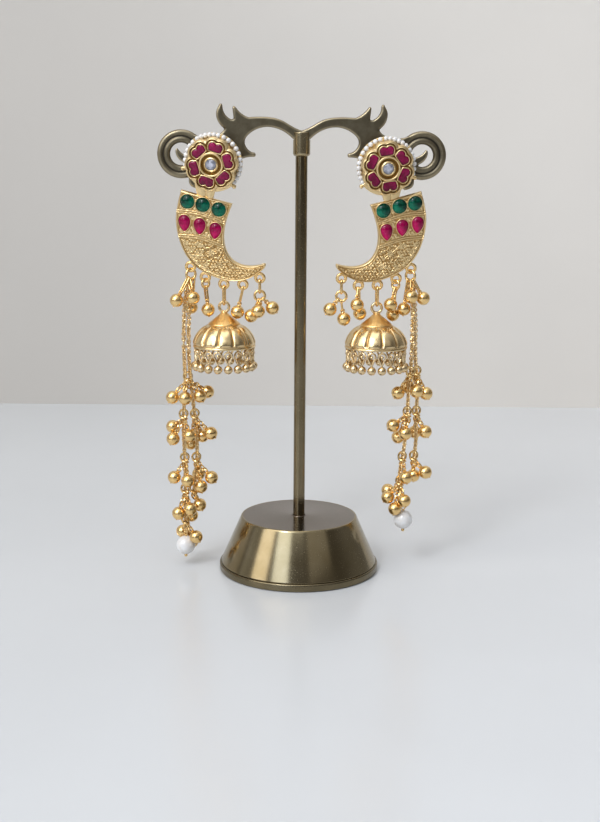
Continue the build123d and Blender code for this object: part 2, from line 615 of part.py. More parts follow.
def ear_pearl_drop(side):
    """The pearl at the tassel's end and the headpin through it."""
    centre = Vector(*PEARL_DROPS[side])
    with BuildPart() as pearl:
        with Locations(centre):
            Sphere(DROP_PEARL_R)
            Cylinder(PIN_R + FIT, 4 * DROP_PEARL_R, mode=Mode.SUBTRACT)
    finish(pearl, f"pearl_{side}", side)

    with BuildPart() as pearl_pin:
        with Locations(centre - Vector(0, 0, DROP_PEARL_R + 0.5)):
            Cylinder(PIN_R, 2 * DROP_PEARL_R + 1.1, align=(Align.CENTER, Align.CENTER, Align.MIN))
        with Locations(centre - Vector(0, 0, DROP_PEARL_R + 0.7)):
            Sphere(0.6)
        add(ring(centre + Vector(0, 0, DROP_PEARL_R + 0.5 + EYE_R), (0, 1, 0), EYE_R, EYE_WIRE))
    finish(pearl_pin, f"pearl_pin_{side}", side)


# ================================================================ bell
def ear_bell(side):
    """The bell with its soldered eye and eyelets, the link it swings on, and its fringe of ball drops."""
    wire = loop_wire(BELL_LOOP)
    bell_seat = Plane(origin=wire - Vector(0, 0, BELL_DROP), x_dir=SWING_AXIS, z_dir=(0, 0, 1))
    with BuildPart() as bell:
        with BuildSketch(Plane.XZ):
            with BuildLine():
                Line((BELL_R, 0), (BELL_R, 0.9))
                ThreePointArc((BELL_R, 0.9), (9.15, 4.75), (BELL_CAP_R, BELL_CAP_Z))
                Polyline((BELL_CAP_R, BELL_CAP_Z), (0.9, BELL_CAP_TOP), (0, BELL_CAP_TOP), (0, BELL_CAP_TOP - 0.8),
                         (0.7, BELL_CAP_TOP - 0.8), (BELL_CAP_R - 0.3, BELL_CAP_Z - BELL_WALL))
                ThreePointArc((BELL_CAP_R - 0.3, BELL_CAP_Z - BELL_WALL), (8.75, 4.35), (BELL_R - BELL_WALL, 0.9))
                Polyline((BELL_R - BELL_WALL, 0.9), (BELL_R - BELL_WALL, 0.5), (DROP_RUN_R - 0.4, 0.5),
                         (DROP_RUN_R - 0.4, 0), (BELL_R, 0))
            make_face()
        revolve(axis=Axis.Z)
        add(ring(Vector(0, 0, BELL_EYE_Z), (0, 1, 0), BELL_EYE_R, BELL_EYE_WIRE))
        for step in range(DROPS):
            out = Vector(1, 0, 0).rotate(Axis.Z, 360 / DROPS * (step + 0.5))
            add(ring(out * DROP_RUN_R - Vector(0, 0, EYELET_R), out, EYELET_R, EYELET_WIRE))
    finish(bell, f"bell_{side}", side, bell_seat)

    with BuildPart() as bell_fringe:
        hang = EYELET_WIRE + DROP_EYE_WIRE + SLACK
        for step in range(DROPS):
            out = Vector(1, 0, 0).rotate(Axis.Z, 360 / DROPS * (step + 0.5))
            eye = out * DROP_RUN_R - Vector(0, 0, 2 * EYELET_R - hang + DROP_EYE_R)
            with BuildPart(mode=Mode.PRIVATE) as drop:
                add(ring(eye, out.cross(Vector(0, 0, 1)), DROP_EYE_R, DROP_EYE_WIRE))
                with Locations(eye - Vector(0, 0, DROP_EYE_R)):
                    Cylinder(0.35, -DROP_BALL_Z + eye.Z - DROP_EYE_R, align=(Align.CENTER, Align.CENTER, Align.MAX))
                with Locations(Vector(out.X * DROP_RUN_R, out.Y * DROP_RUN_R, DROP_BALL_Z)):
                    Sphere(DROP_BALL_R)
            add(drop.part)
    finish(bell_fringe, f"bell_fringe_{side}", side, bell_seat)

    with BuildPart() as bell_link:
        low = Vector(0, 0, BELL_EYE_Z + BELL_EYE_R - BELL_EYE_WIRE - RING_WIRE - SLACK)
        high = Vector(0, 0, BELL_DROP + LOOP_WIRE + RING_WIRE + SLACK)
        add(oval_link(low, high, Vector(0, 1, 0), BELL_LINK_HALF, RING_WIRE))
    finish(bell_link, f"bell_link_{side}", side, bell_seat)


for side in SIDES:
    frame = ear_frame(side)
    finish(frame, f"frame_{side}", side, EARRING)
    ear_stones(side)
    ear_nut(side)
    ear_links(side)
    ear_top_beads(side)
    ear_bell(side)
    ear_chains(side)
    ear_clusters(side)
    ear_pearl_drop(side)
print("bell swing: point", loop_wire(BELL_LOOP), "axis", SWING_AXIS)
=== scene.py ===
# %% [markdown]
# # A pair of jhumka earrings on a brass stand
#
# Two drop earrings hang from a scrolled brass crossbar. Each one is a flower stud, a tiger-claw plate set
# with emeralds and rubies, a row of ball beads, a fluted bell with a fringe, and a long tassel of chains and
# beads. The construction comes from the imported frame. This script gives every part its finish, and makes the
# fine forms that a jeweller would chase, set or solder by hand.

# %% Load the frame
import json
from math import cos, pi, radians, sin, sqrt

import bmesh
import bpy
import numpy as np
from mathutils import Matrix, Vector
from mathutils.kdtree import KDTree


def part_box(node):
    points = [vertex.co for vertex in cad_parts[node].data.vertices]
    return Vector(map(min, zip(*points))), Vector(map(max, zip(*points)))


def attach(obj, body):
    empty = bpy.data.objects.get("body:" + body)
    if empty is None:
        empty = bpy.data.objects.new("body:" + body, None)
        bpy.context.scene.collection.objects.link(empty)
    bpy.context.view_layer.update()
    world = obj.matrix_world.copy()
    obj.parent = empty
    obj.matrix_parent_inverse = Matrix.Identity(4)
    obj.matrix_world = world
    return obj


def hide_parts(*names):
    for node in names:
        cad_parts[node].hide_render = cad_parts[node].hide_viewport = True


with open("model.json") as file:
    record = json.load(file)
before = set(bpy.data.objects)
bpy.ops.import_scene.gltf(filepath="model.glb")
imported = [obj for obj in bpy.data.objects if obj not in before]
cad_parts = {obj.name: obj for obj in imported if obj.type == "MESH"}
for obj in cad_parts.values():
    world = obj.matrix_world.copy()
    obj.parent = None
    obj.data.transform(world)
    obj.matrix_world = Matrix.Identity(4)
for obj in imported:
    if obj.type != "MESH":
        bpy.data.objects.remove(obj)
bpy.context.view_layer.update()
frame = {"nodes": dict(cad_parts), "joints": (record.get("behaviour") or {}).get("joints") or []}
MM = 0.001
SIDES = ("left", "right")
scene = bpy.context.scene


def in_scene(name, data):
    """A new object in the scene."""
    made = bpy.data.objects.new(name, data)
    scene.collection.objects.link(made)
    return made


# %% [markdown]
# ## Camera, room and lamps
#
# The camera stands a little under half a metre away, at the height of the flower studs, and looks down
# slightly. The floor and the wall are plain and pale. Polished metal shows the room more than its own colour,
# so the lamps are tall soft panels on the left, which draw upright bands on the base, and the right side is
# left quieter so that the gold keeps its brown shade there.

# %% Camera
EYE = Vector((0.00012, -0.4378, 0.1451))
LOOK_DOWN, ROLL = 11.51, 0.44
camera = in_scene("camera", bpy.data.cameras.new("camera"))
camera.data.lens, camera.data.clip_start = 56.9, 0.01
camera.matrix_world = (Matrix.Translation(EYE) @ Matrix.Rotation(radians(90 - LOOK_DOWN), 4, "X")
                       @ Matrix.Rotation(radians(ROLL), 4, "Z"))
scene.camera = camera
scene.view_settings.view_transform = "Standard"


# %% [markdown]
# ## Sums on sockets
#
# A finish is mostly arithmetic on noise and position. A small class lets those sums be written as plain
# expressions, and one method makes any other node.

# %% Sums on sockets
class Value:
    """An output socket that can be used in sums. Each sum adds a Math node to its tree."""

    def __init__(self, tree, socket):
        self.tree, self.socket = tree, socket

    def out(self, name):
        return Value(self.tree, self.socket.node.outputs[name])

    def math(self, operation, *others):
        return self.tree.node("ShaderNodeMath", {"operation": operation}, dict(enumerate((self,) + others)))

    __add__ = __radd__ = lambda self, other: self.math("ADD", other)
    __mul__ = __rmul__ = lambda self, other: self.math("MULTIPLY", other)
    __sub__ = lambda self, other: self.math("SUBTRACT", other)
    __rsub__ = lambda self, other: self.tree.node("ShaderNodeMath", {"operation": "SUBTRACT"}, {0: other, 1: self})
    __truediv__ = lambda self, other: self.math("DIVIDE", other)
    __pow__ = lambda self, other: self.math("POWER", other)

    def between(self, low, high):
        """0 below the low value, 1 above the high one, and a smooth rise from one to the other."""
        return self.tree.node("ShaderNodeMapRange", {"interpolation_type": "SMOOTHSTEP"},
                              {"Value": self, "From Min": low, "From Max": high})


class Tree:
    """Adds nodes to a material's or a modifier's tree."""

    def __init__(self, tree):
        self.tree = tree

    def node(self, kind, settings=None, sockets=None, output=0):
        made = self.tree.nodes.new(kind)
        for name, value in (settings or {}).items():
            setattr(made, name, value)
        for key, value in (sockets or {}).items():
            self.feed(made.inputs[key], value)
        return Value(self, made.outputs[output]) if len(made.outputs) else made

    def feed(self, socket, value):
        """Links a value to a socket, or sets the socket. Colours are written as red, green and blue."""
        if isinstance(value, Value):
            self.tree.links.new(value.socket, socket)
        else:
            socket.default_value = (*value, 1.0) if socket.type == "RGBA" else value

    def mix(self, share, first, second):
        """A colour between two colours."""
        return self.node("ShaderNodeMix", {"data_type": "RGBA"}, {0: share, 6: first, 7: second}, output=2)

    def noise(self, place, scale, detail=2.0, roughness=0.5):
        return self.node("ShaderNodeTexNoise", {}, {"Vector": place, "Scale": scale, "Detail": detail,
                                                    "Roughness": roughness})

    def attribute(self, name):
        return self.node("ShaderNodeAttribute", {"attribute_name": name}, output="Fac")

    def part(self, vector, axis):
        """One of a vector's three numbers."""
        return self.node("ShaderNodeSeparateXYZ", {}, {"Vector": vector}, output=axis)

    def bump(self, height, distance, strength):
        """A normal raised by a height, where the distance is the height of 1 in metres."""
        return self.node("ShaderNodeBump", {}, {"Strength": strength, "Distance": distance, "Height": height})


def new_material(name, **shader):
    """A material with its tree, its surface shader and the object's own coordinates."""
    material = bpy.data.materials.new(name)
    material.use_nodes = True
    tree = Tree(material.node_tree)
    surface = material.node_tree.nodes["Principled BSDF"]
    for socket, value in shader.items():
        surface.inputs[socket.replace("_", " ").title().replace("Ior", "IOR")].default_value = value
    return material, tree, surface, tree.node("ShaderNodeTexCoord", output="Object")


# %% Floor and wall
WALL_Y, WALL_RIGHT, FAR = 0.29, 0.4, 3


def stage_piece(name, corners, left, right, roughness):
    """A flat stretch of floor or wall with painted light that makes it a little paler towards the right, clear from
    its back.
    """
    material, tree, surface, place = new_material(name, roughness=roughness)
    # painted light: the colour grows paler from left to right across the middle
    across = tree.part(place, "X").between(-0.2, 0.2)
    clouds = tree.noise(place, 9.0, 3.0).between(0.3, 0.7)
    tree.feed(surface.inputs["Base Color"], tree.mix(clouds * 0.06, tree.mix(across, left, right), (0.3, 0.3, 0.3)))
    shown = tree.node("ShaderNodeMixShader", {}, {0: tree.node("ShaderNodeNewGeometry", output="Backfacing"),
                                                  1: Value(tree, surface.outputs["BSDF"]),
                                                  2: tree.node("ShaderNodeBsdfTransparent")})
    tree.feed(material.node_tree.nodes["Material Output"].inputs["Surface"], shown)
    mesh = bpy.data.meshes.new(name)
    mesh.from_pydata(corners, [], [(0, 1, 2, 3)])
    mesh.materials.append(material)
    in_scene(name, mesh)


stage_piece("floor", [(-FAR, -FAR, 0), (FAR, -FAR, 0), (FAR, WALL_Y, 0), (-FAR, WALL_Y, 0)],
            (0.585, 0.60, 0.615), (0.66, 0.675, 0.695), 0.22)
stage_piece("wall", [(-FAR, WALL_Y, 0), (WALL_RIGHT, WALL_Y, 0), (WALL_RIGHT, WALL_Y, FAR), (-FAR, WALL_Y, FAR)],
            (0.545, 0.515, 0.475), (0.80, 0.76, 0.705), 0.7)

# %% Lamps
ROOM_DARK, ROOM_PALE = (0.115, 0.11, 0.105), (0.62, 0.64, 0.67)
LAMPS_AIM = Vector((0, 0, 0.08))
world = bpy.data.worlds.new("room")
world.use_nodes = True
room = Tree(world.node_tree)
towards = room.node("ShaderNodeTexCoord", output="Generated")
front_side = (room.part(towards, "Y") * -1.0).between(-0.25, 0.45)
overhead = room.part(towards, "Z").between(0.35, 0.95)
right_side = room.part(towards, "X").between(0.15, 0.75) * (1 - overhead)
pale = (1 - front_side).math("MAXIMUM", overhead) * (1 - right_side * 0.8)
room.feed(world.node_tree.nodes["Background"].inputs["Color"], room.mix(pale, ROOM_DARK, ROOM_PALE))
scene.world = world


def soft_panel(name, azimuth, height, distance, width, tall, power, tint=(1.0, 0.99, 0.97)):
    """A tall soft lamp that faces the earrings. Azimuth 0 is in front, and positive is to the left."""
    lamp = bpy.data.lights.new(name, "AREA")
    lamp.shape = "RECTANGLE"
    lamp.size, lamp.size_y, lamp.energy, lamp.color = width, tall, power, tint
    turn = radians(azimuth)
    stand_at = Vector((-sin(turn) * distance, -cos(turn) * distance, height))
    aim = (LAMPS_AIM - stand_at).to_track_quat("-Z", "Y").to_matrix().to_4x4()
    in_scene(name, lamp).matrix_world = Matrix.Translation(stand_at) @ aim


soft_panel("window_near", 28, 0.86, 1.2, 0.60, 1.3, 8.0, (0.74, 0.84, 1.0))
soft_panel("window_far", 61, 0.86, 1.2, 0.62, 1.3, 6.5, (1.0, 0.97, 0.93))
soft_panel("window_pane", 32, 1.16, 1.2, 0.28, 0.42, 6.0)
soft_panel("room_front", 2, 1.05, 1.2, 0.52, 0.5, 0.9, (0.86, 0.92, 1.0))
soft_panel("room_right", -36, 0.80, 1.2, 0.90, 0.6, 0.55)
soft_panel("ceiling", 20, 1.7, 0.25, 1.2, 1.2, 6.2)

# %% [markdown]
# ## Metals
#
# Each metal is one reflecting surface whose colour and roughness change a little from place to place. A
# worn edge on a casting is brighter because fingers polish it, and an engraved hollow is darker, partly
# because polish and dirt stay in it and partly from painted shade. Both come from numbers stored on the mesh
# where it was shaped: an attribute named "worn" and one for the hollows' shade and dirt.

# %% Stand brass
CAST_DARK, CAST_MID = (0.135, 0.112, 0.072), (0.175, 0.148, 0.098)
CAST_BRIGHT, CAST_DEEP = (0.40, 0.33, 0.21), (0.05, 0.042, 0.03)


def new_metal(name):
    """A metal's material, with its tree, the object's coordinates, and a way to set its look."""
    material, tree, surface, place = new_material(name, metallic=1.0)

    def look(tone, roughness, height, distance, strength):
        normal = tree.bump(height, distance, strength)
        for socket, value in (("Base Color", tone), ("Roughness", roughness), ("Normal", normal)):
            tree.feed(surface.inputs[socket], value)
        return material
    return tree, place, look


def cast_brass():
    """Dark antique brass of the crossbar, rubbed bright on its edges."""
    tree, place, look = new_metal("cast_brass")
    patina = tree.noise(place, 380.0, 4.0, 0.6)
    grain = tree.noise(place, 2600.0, 2.0)
    worn = tree.attribute("worn").between(0.3, 1.0) * (patina * 0.7 + 0.5)
    body = tree.mix(patina.between(0.35, 0.7), CAST_DARK, CAST_MID)
    # the hollows take the deep tone: painted shade and dirt in the recesses
    body = tree.mix(tree.attribute("hollow").between(0.05, 0.6), body, CAST_DEEP)
    return look(tree.mix(worn.math("MINIMUM", 1.0), body, CAST_BRIGHT), 0.36 + patina * 0.08 - worn * 0.12,
                grain + patina * 0.5, 0.00001, 0.4)


def turned_brass(name, dark, light, roughness):
    """Lathe-turned brass: fine level grooves spread each reflection up and down into a band."""
    tree, place, look = new_metal(name)
    grooves = tree.node("ShaderNodeTexNoise", {"noise_dimensions": "1D"},
                        {"W": tree.part(place, "Z"), "Scale": 5200.0, "Detail": 2.0})
    cloud = tree.noise(place, 120.0, 4.0, 0.6)
    speck = tree.noise(place, 2400.0, 1.0).between(0.68, 0.74)
    return look(tree.mix(cloud.between(0.3, 0.75) * 0.7 + speck * 0.3, dark, light),
                roughness + cloud * 0.05 + speck * 0.1, grooves * 0.6 + cloud * 0.1, 0.000005, 0.5)


# %% Golds
def gold(name, light, deep, roughness, grain_scale, grain_depth):
    """Yellow gold. Hollows are deeper and rougher in tone, from painted shade and dirt."""
    tree, place, look = new_metal(name)
    cloud = tree.noise(place, 300.0, 3.0, 0.55)
    grain = tree.noise(place, grain_scale, 3.0, 0.6)
    # painted shade and dirt darken the hollows and make them rougher
    hollow = tree.attribute("hollow").between(0.15, 0.85)
    return look(tree.mix((hollow + cloud * 0.22).math("MINIMUM", 1.0), light, deep),
                roughness + cloud * 0.10 + hollow * 0.15, grain, grain_depth, 0.6)


satin_gold = gold("satin_gold", (0.85, 0.65, 0.345), (0.47, 0.28, 0.10), 0.27, 2600.0, 0.00003)
bright_gold = gold("bright_gold", (0.83, 0.64, 0.355), (0.50, 0.29, 0.10), 0.19, 1500.0, 0.000008)
bead_gold = gold("bead_gold", (0.88, 0.615, 0.275), (0.52, 0.30, 0.09), 0.20, 1300.0, 0.00004)
chain_gold = gold("chain_gold", (0.88, 0.66, 0.35), (0.45, 0.25, 0.07), 0.26, 1800.0, 0.00001)
cap_gold = gold("cap_gold", (0.84, 0.56, 0.23), (0.42, 0.21, 0.05), 0.26, 900.0, 0.0003)
fringe_gold = gold("fringe_gold", (0.80, 0.61, 0.35), (0.42, 0.26, 0.10), 0.22, 1800.0, 0.000012)
# a dark gold for the sheet under the flower's cells, which shows in the gaps between them
cell_floor_gold = gold("cell_floor_gold", (0.26, 0.14, 0.035), (0.10, 0.05, 0.012), 0.42, 2200.0, 0.00003)
stand_brass = cast_brass()
pole_brass = turned_brass("pole_brass", (0.19, 0.15, 0.085), (0.25, 0.20, 0.125), 0.17)
base_brass = turned_brass("base_brass", (0.27, 0.215, 0.12), (0.34, 0.28, 0.175), 0.15)
collar_brass = turned_brass("collar_brass", (0.36, 0.29, 0.17), (0.46, 0.38, 0.24), 0.20)
foot_brass = turned_brass("foot_brass", (0.17, 0.14, 0.085), (0.22, 0.18, 0.11), 0.24)
# The top disc is the same brass, given a greyer tone: a painted reflection of the pale room above it.
disc_brass_painted_reflection = turned_brass("disc_brass_painted_reflection", (0.178, 0.150, 0.122), (0.212, 0.178, 0.148), 0.16)


# %% [markdown]
# ## Stones and pearls
#
# A foiled stone in a closed setting sends light back from behind, so it is brightest on the side away from
# the lamp and darkest at its edge. That light is painted into the stone's colour: a number stored on the mesh
# says how much, and mixes a deep and a bright tone. The low reflection keeps that colour deep under a sharp
# polish.

# %% Stone and pearl finishes
def stone(name, deep, painted_lit_tone, scale=700.0, ior=1.34):
    """A polished stone over foil, with painted light in its colour."""
    material, tree, surface, place = new_material(name, roughness=0.06, ior=ior)
    silk = tree.noise(place, scale, 4.0, 0.65).between(0.35, 0.75)
    # painted light: the stored numbers make the stone brighter where light would come back through it; the silk
    # noise adds the stone's own cloudiness
    painted_light = (tree.attribute("painted_light") * 0.8 + silk * 0.4 - 0.08).math("MAXIMUM", 0.0).math("MINIMUM", 1.0)
    tree.feed(surface.inputs["Base Color"], tree.mix(painted_light, deep, painted_lit_tone))
    return material


# each stone's second tone is the bright colour of its painted light
petal_ruby = stone("petal_ruby", (0.11, 0.0, 0.02), (0.42, 0.004, 0.10))
drop_ruby = stone("drop_ruby", (0.20, 0.0, 0.036), (0.64, 0.002, 0.13))
emerald_green = stone("emerald_green", (0.0, 0.028, 0.016), (0.0, 0.23, 0.13))
clear_stone = stone("clear_stone", (0.08, 0.09, 0.12), (0.60, 0.60, 0.68), 1500.0, 1.8)

# A pearl has a soft sheen with a faint warm and cool change over it.
pearl_white, tree, surface, place = new_material("pearl", roughness=0.20, coat_weight=0.8, coat_roughness=0.06,
                                                 sheen_weight=0.3)
tree.feed(surface.inputs["Base Color"], tree.mix(tree.noise(place, 500.0, 2.0).between(0.3, 0.7),
                                                 (0.74, 0.71, 0.68), (0.80, 0.80, 0.80)))

# %% [markdown]
# ## Shapes as rings
#
# Jewellery is made of closed solids with few kinds of form: a band, a dome, a turned profile. All of them
# are rings of points joined one after another, so one small class collects rings and gives back a mesh.
# Lengths are in millimetres until the mesh is made.

# %% Shells made of rings
def circle(count):
    """Evenly spaced points of a circle of radius 1."""
    angles = np.linspace(0, 2 * pi, count, endpoint=False)
    return np.stack([np.cos(angles), np.sin(angles)], axis=1)


def at_depth(outline, depth):
    """A flat outline (x, z) as a ring of points at a depth behind the flower's face."""
    return np.insert(np.asarray(outline, float), 1, depth, axis=1)


class Shell:
    """Closed surfaces in millimetres, collected into one mesh, with a number stored at each point."""

    def __init__(self):
        self.points, self.faces, self.slots, self.numbers = [], [], [], []

    def loft(self, rings, slot=0, loop=False, numbers=None):
        """Joins rings of equally many points. A loop joins the last to the first, otherwise both ends close."""
        rows, count = len(rings), len(rings[0])
        grid = len(self.points) + np.arange(rows * count).reshape(rows, count)
        for ring, number in zip(rings, numbers or [0.0] * rows):
            self.points += np.asarray(ring).tolist()
            self.numbers += np.broadcast_to(number, count).tolist()
        here, above = (grid, np.roll(grid, -1, 0)) if loop else (grid[:-1], grid[1:])
        made = np.stack([here, np.roll(here, -1, 1), np.roll(above, -1, 1), above], axis=-1).reshape(-1, 4).tolist()
        self.add_faces(made if loop else made + [grid[0, ::-1].tolist(), grid[-1].tolist()], slot)

    def add_faces(self, faces, slot=0):
        self.faces += faces
        self.slots += [slot] * len(faces)

    def torus(self, centre, normal, radius, wire, around=28, section=10, slot=0):
        """A round ring of wire."""
        turn = np.array(Vector(normal).to_track_quat("Z", "Y").to_matrix())
        cut = circle(section) * wire + (radius, 0)
        self.loft([np.c_[cut[:, :1] * way, cut[:, 1]] @ turn.T + centre for way in circle(around)], slot, loop=True)

    def turned(self, profile, around=48, slot=0, axis=2, centre=(0, 0, 0), loop=False, spin=np.eye(3)):
        """A profile of (radius, height) pairs turned round an axis. A looped profile makes a hoop."""
        self.loft([np.roll(np.insert(circle(around) * radius, 2, height, axis=1), axis + 1, axis=1) @ spin.T + centre
                   for radius, height in profile], slot, loop)

    def ball(self, centre, radius, around=32, rows=16):
        """A round ball."""
        heights = np.linspace(-pi / 2, pi / 2, rows + 1)[1:-1]
        self.turned(radius * np.c_[np.cos(heights), np.sin(heights)], around, centre=centre)

    def tube(self, path, wire, section=8):
        """A round wire along a closed path of points."""
        path, turn, rings = np.asarray(path, float), None, []
        for point, tangent in zip(path, np.roll(path, -1, 0) - np.roll(path, 1, 0)):
            way = Vector(tangent).normalized()
            turn = turn or way.to_track_quat("Z", "Y").to_matrix()
            turn = turn.col[2].rotation_difference(way).to_matrix() @ turn
            rings.append(np.insert(circle(section) * wire, 2, 0, axis=1) @ np.array(turn).T + point)
        self.loft(rings, loop=True)

    def mesh(self, name, materials, matrix=Matrix(), stored=None, sharp=38):
        """The collected surfaces as a mesh in metres, placed by a matrix in millimetres, facing outwards."""
        mesh = bpy.data.meshes.new(name)
        mesh.from_pydata(self.points, [], self.faces)
        for material in materials:
            mesh.materials.append(material)
        mesh.polygons.foreach_set("material_index", self.slots)
        if stored:
            mesh.attributes.new(stored, "FLOAT", "POINT").data.foreach_set("value", self.numbers)
        mesh.transform(Matrix.Scale(MM, 4) @ matrix)
        edit = bmesh.new()
        edit.from_mesh(mesh)
        bmesh.ops.recalc_face_normals(edit, faces=edit.faces)
        edit.to_mesh(mesh)
        edit.free()
        mesh.shade_smooth()
        mesh.set_sharp_from_angle(angle=radians(sharp))
        return mesh


def add_piece(name, mesh, body, slot, *nodes):
    """Puts a mesh in the scene as a piece that rides on a body and stands for the given nodes."""
    piece = in_scene(name, mesh)
    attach(piece, body)
    if nodes:
        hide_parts(*nodes)
    print(name, "faces:", len(mesh.polygons))


def set_finish(mesh, finish):
    """Makes one finish the only one of a mesh."""
    mesh.materials.clear()
    mesh.materials.append(finish)


# %% [markdown]
# ## Outlines
#
# A bezel follows the edge of its stone at an even distance. Measuring the distance from an outline, and
# looking along rays from the middle for the place where it has a given value, gives that even border for any
# shape that a ray leaves only once.

# %% Curves and outlines
FINE_STEPS = 40                   # of a smooth curve, for each point that it goes through
FARTHEST, HALVINGS = 14.0, 18     # the search along a ray: how far it looks, and how often it halves the stretch


def fit_round(points):
    """Centre and radius of the circle or ball that points lie on."""
    fit = np.linalg.lstsq(np.c_[points, np.ones(len(points))], (points ** 2).sum(1), rcond=None)[0]
    centre = fit[:-1] / 2
    return centre, sqrt(fit[-1] + centre @ centre)


def arc(first, middle, last, count):
    """Points of the circular arc through three points."""
    given = np.array((first, middle, last))
    centre = np.linalg.solve(2 * (given[1:] - given[0]), (given[1:] ** 2).sum(1) - (given[0] ** 2).sum())
    x, y = (given - centre).T
    angles = np.unwrap(np.arctan2(y, x))
    sweep = np.linspace(angles[0], angles[2], count)
    return centre + sqrt(x[0] ** 2 + y[0] ** 2) * np.stack([np.cos(sweep), np.sin(sweep)], axis=1)


def turned_by(points, degrees):
    """Flat points turned about zero."""
    turn = radians(degrees)
    return points @ np.array([[cos(turn), sin(turn)], [-sin(turn), cos(turn)]])


def run_along(points):
    """The distance along a line of points at each of them."""
    return np.concatenate([[0], np.cumsum(np.linalg.norm(np.diff(points, axis=0), axis=1))])


def smooth_curve(points, count):
    """Evenly spaced points of the natural cubic curve through the given ones."""
    points = np.asarray(points, float)
    knots = run_along(points)
    gaps, n = np.diff(knots)[:, None], len(points)
    system, right, slopes = np.eye(n), np.zeros_like(points), np.diff(points, axis=0) / gaps
    for i in range(1, n - 1):
        system[i, i - 1:i + 2] = gaps[i - 1, 0], 2 * (gaps[i - 1, 0] + gaps[i, 0]), gaps[i, 0]
        right[i] = 6 * (slopes[i] - slopes[i - 1])
    bend = np.linalg.solve(system, right)
    places = np.linspace(0, knots[-1], FINE_STEPS * n)
    i = np.clip(np.searchsorted(knots, places) - 1, 0, n - 2)
    gap, after, before = gaps[i], (places - knots[i])[:, None], (knots[i + 1] - places)[:, None]
    fine = (bend[i] * before ** 3 / (6 * gap) + (points[i] / gap - bend[i] * gap / 6) * before
            + bend[i + 1] * after ** 3 / (6 * gap) + (points[i + 1] / gap - bend[i + 1] * gap / 6) * after)
    run = run_along(fine)
    return np.stack([np.interp(np.linspace(0, run[-1], count), run, column) for column in fine.T], axis=1)


def distance_outside(points, outline):
    """How far each point is outside a closed outline; inside it is negative."""
    first, last = outline, np.roll(outline, -1, axis=0)
    edge, away = last - first, points[:, None] - first[None]
    share = np.clip((away * edge).sum(2) / np.maximum((edge ** 2).sum(1), 1e-12), 0, 1)
    distance = np.linalg.norm(away - share[..., None] * edge, axis=2).min(1)
    x, y = points[:, :1], points[:, 1:]
    crossed = ((first[:, 1] > y) != (last[:, 1] > y)) & (
        x < edge[:, 0] * (y - first[:, 1]) / np.where(edge[:, 1] == 0, 1e-12, edge[:, 1]) + first[:, 0])
    return np.where(crossed.sum(1) % 2 == 1, -distance, distance)


def border(outlines, centre, grow, count, start=0.0):
    """The line at an even distance from the nearest of several outlines, seen from a centre."""
    rays = circle(count)
    near, far = np.full(count, start), np.full(count, FARTHEST)
    for _ in range(HALVINGS):
        middle = (near + far) / 2
        places = centre + rays * middle[:, None]
        outside = np.min([distance_outside(places, outline) for outline in outlines], axis=0) > grow
        near, far = np.where(outside, near, middle), np.where(outside, middle, far)
    reach = (np.roll(near, 1) + near * 2 + np.roll(near, -1)) / 4
    return centre + rays * reach[:, None]


# %% [markdown]
# ## Where an earring hangs
#
# Both earrings are modelled as the left one, with the middle of the flower's face at zero and the depth
# measured backwards. The plane below turns the face outwards and lets it droop, as a heavy earring does on
# its post, and the right one is the mirror image.

# %% The earring's place
POST_AT = Vector((-28.8, -8.8, 138.55))
YAW, PITCH = radians(9.0), radians(10.0)
FLOWER_OFF = {"left": (-0.65, 0.0, 0.5), "right": (0.55, 0.0, -0.35)}   # the flower sits a little off its post


def earring_matrix(side):
    """From an earring's own millimetres to the stand's."""
    across = Vector((cos(YAW), -sin(YAW), 0))
    up = Vector((-sin(PITCH) * sin(YAW), -sin(PITCH) * cos(YAW), cos(PITCH)))
    matrix = Matrix((across, up.cross(across), up)).transposed().to_4x4()
    matrix.translation = POST_AT
    return (Matrix.Scale(-1, 4, (1, 0, 0)) if side == "right" else Matrix()) @ matrix


def flower_matrix(side):
    """From the millimetres of a flower stud to the stand's."""
    return earring_matrix(side) @ Matrix.Translation(FLOWER_OFF[side])


low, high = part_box("centre_stone_left")
off_frame = (low + high) / 2 / MM - flower_matrix("left").translation
print("flower's middle against the frame, mm:", round(off_frame.length, 2))

# %% [markdown]
# ## The flower stud
#
# Six heart-cleft rubies lie in cells of upright gold wire round a clear stone. The scalloped rim outside them
# repeats the petals' line. Every border is worked out from the petals, so the wire, the dark gap and the rim
# stay even all the way round.

# %% Petal outlines
PETALS, PETAL_START = 6, 12.0
TURN = {"left": 0.0, "right": 9.5}


def petal_outlines(side):
    """The outlines of the six petals as (x, z) points."""
    half = np.concatenate([[(4.35, 0.0), (4.38, 1.0), (4.45, 2.0), (5.2, 2.2)],
                           arc((6.0, 2.38), (7.2, 1.35), (6.6, 0.0), 12)])
    petal = np.concatenate([half, half[-2:0:-1] * (1, -1)])
    return [turned_by(petal, PETAL_START + TURN[side] + 360 / PETALS * number) for number in range(PETALS)]


def petal_centre(outline):
    """A point in the middle of a petal."""
    return (outline.min(0) + outline.max(0)) / 2


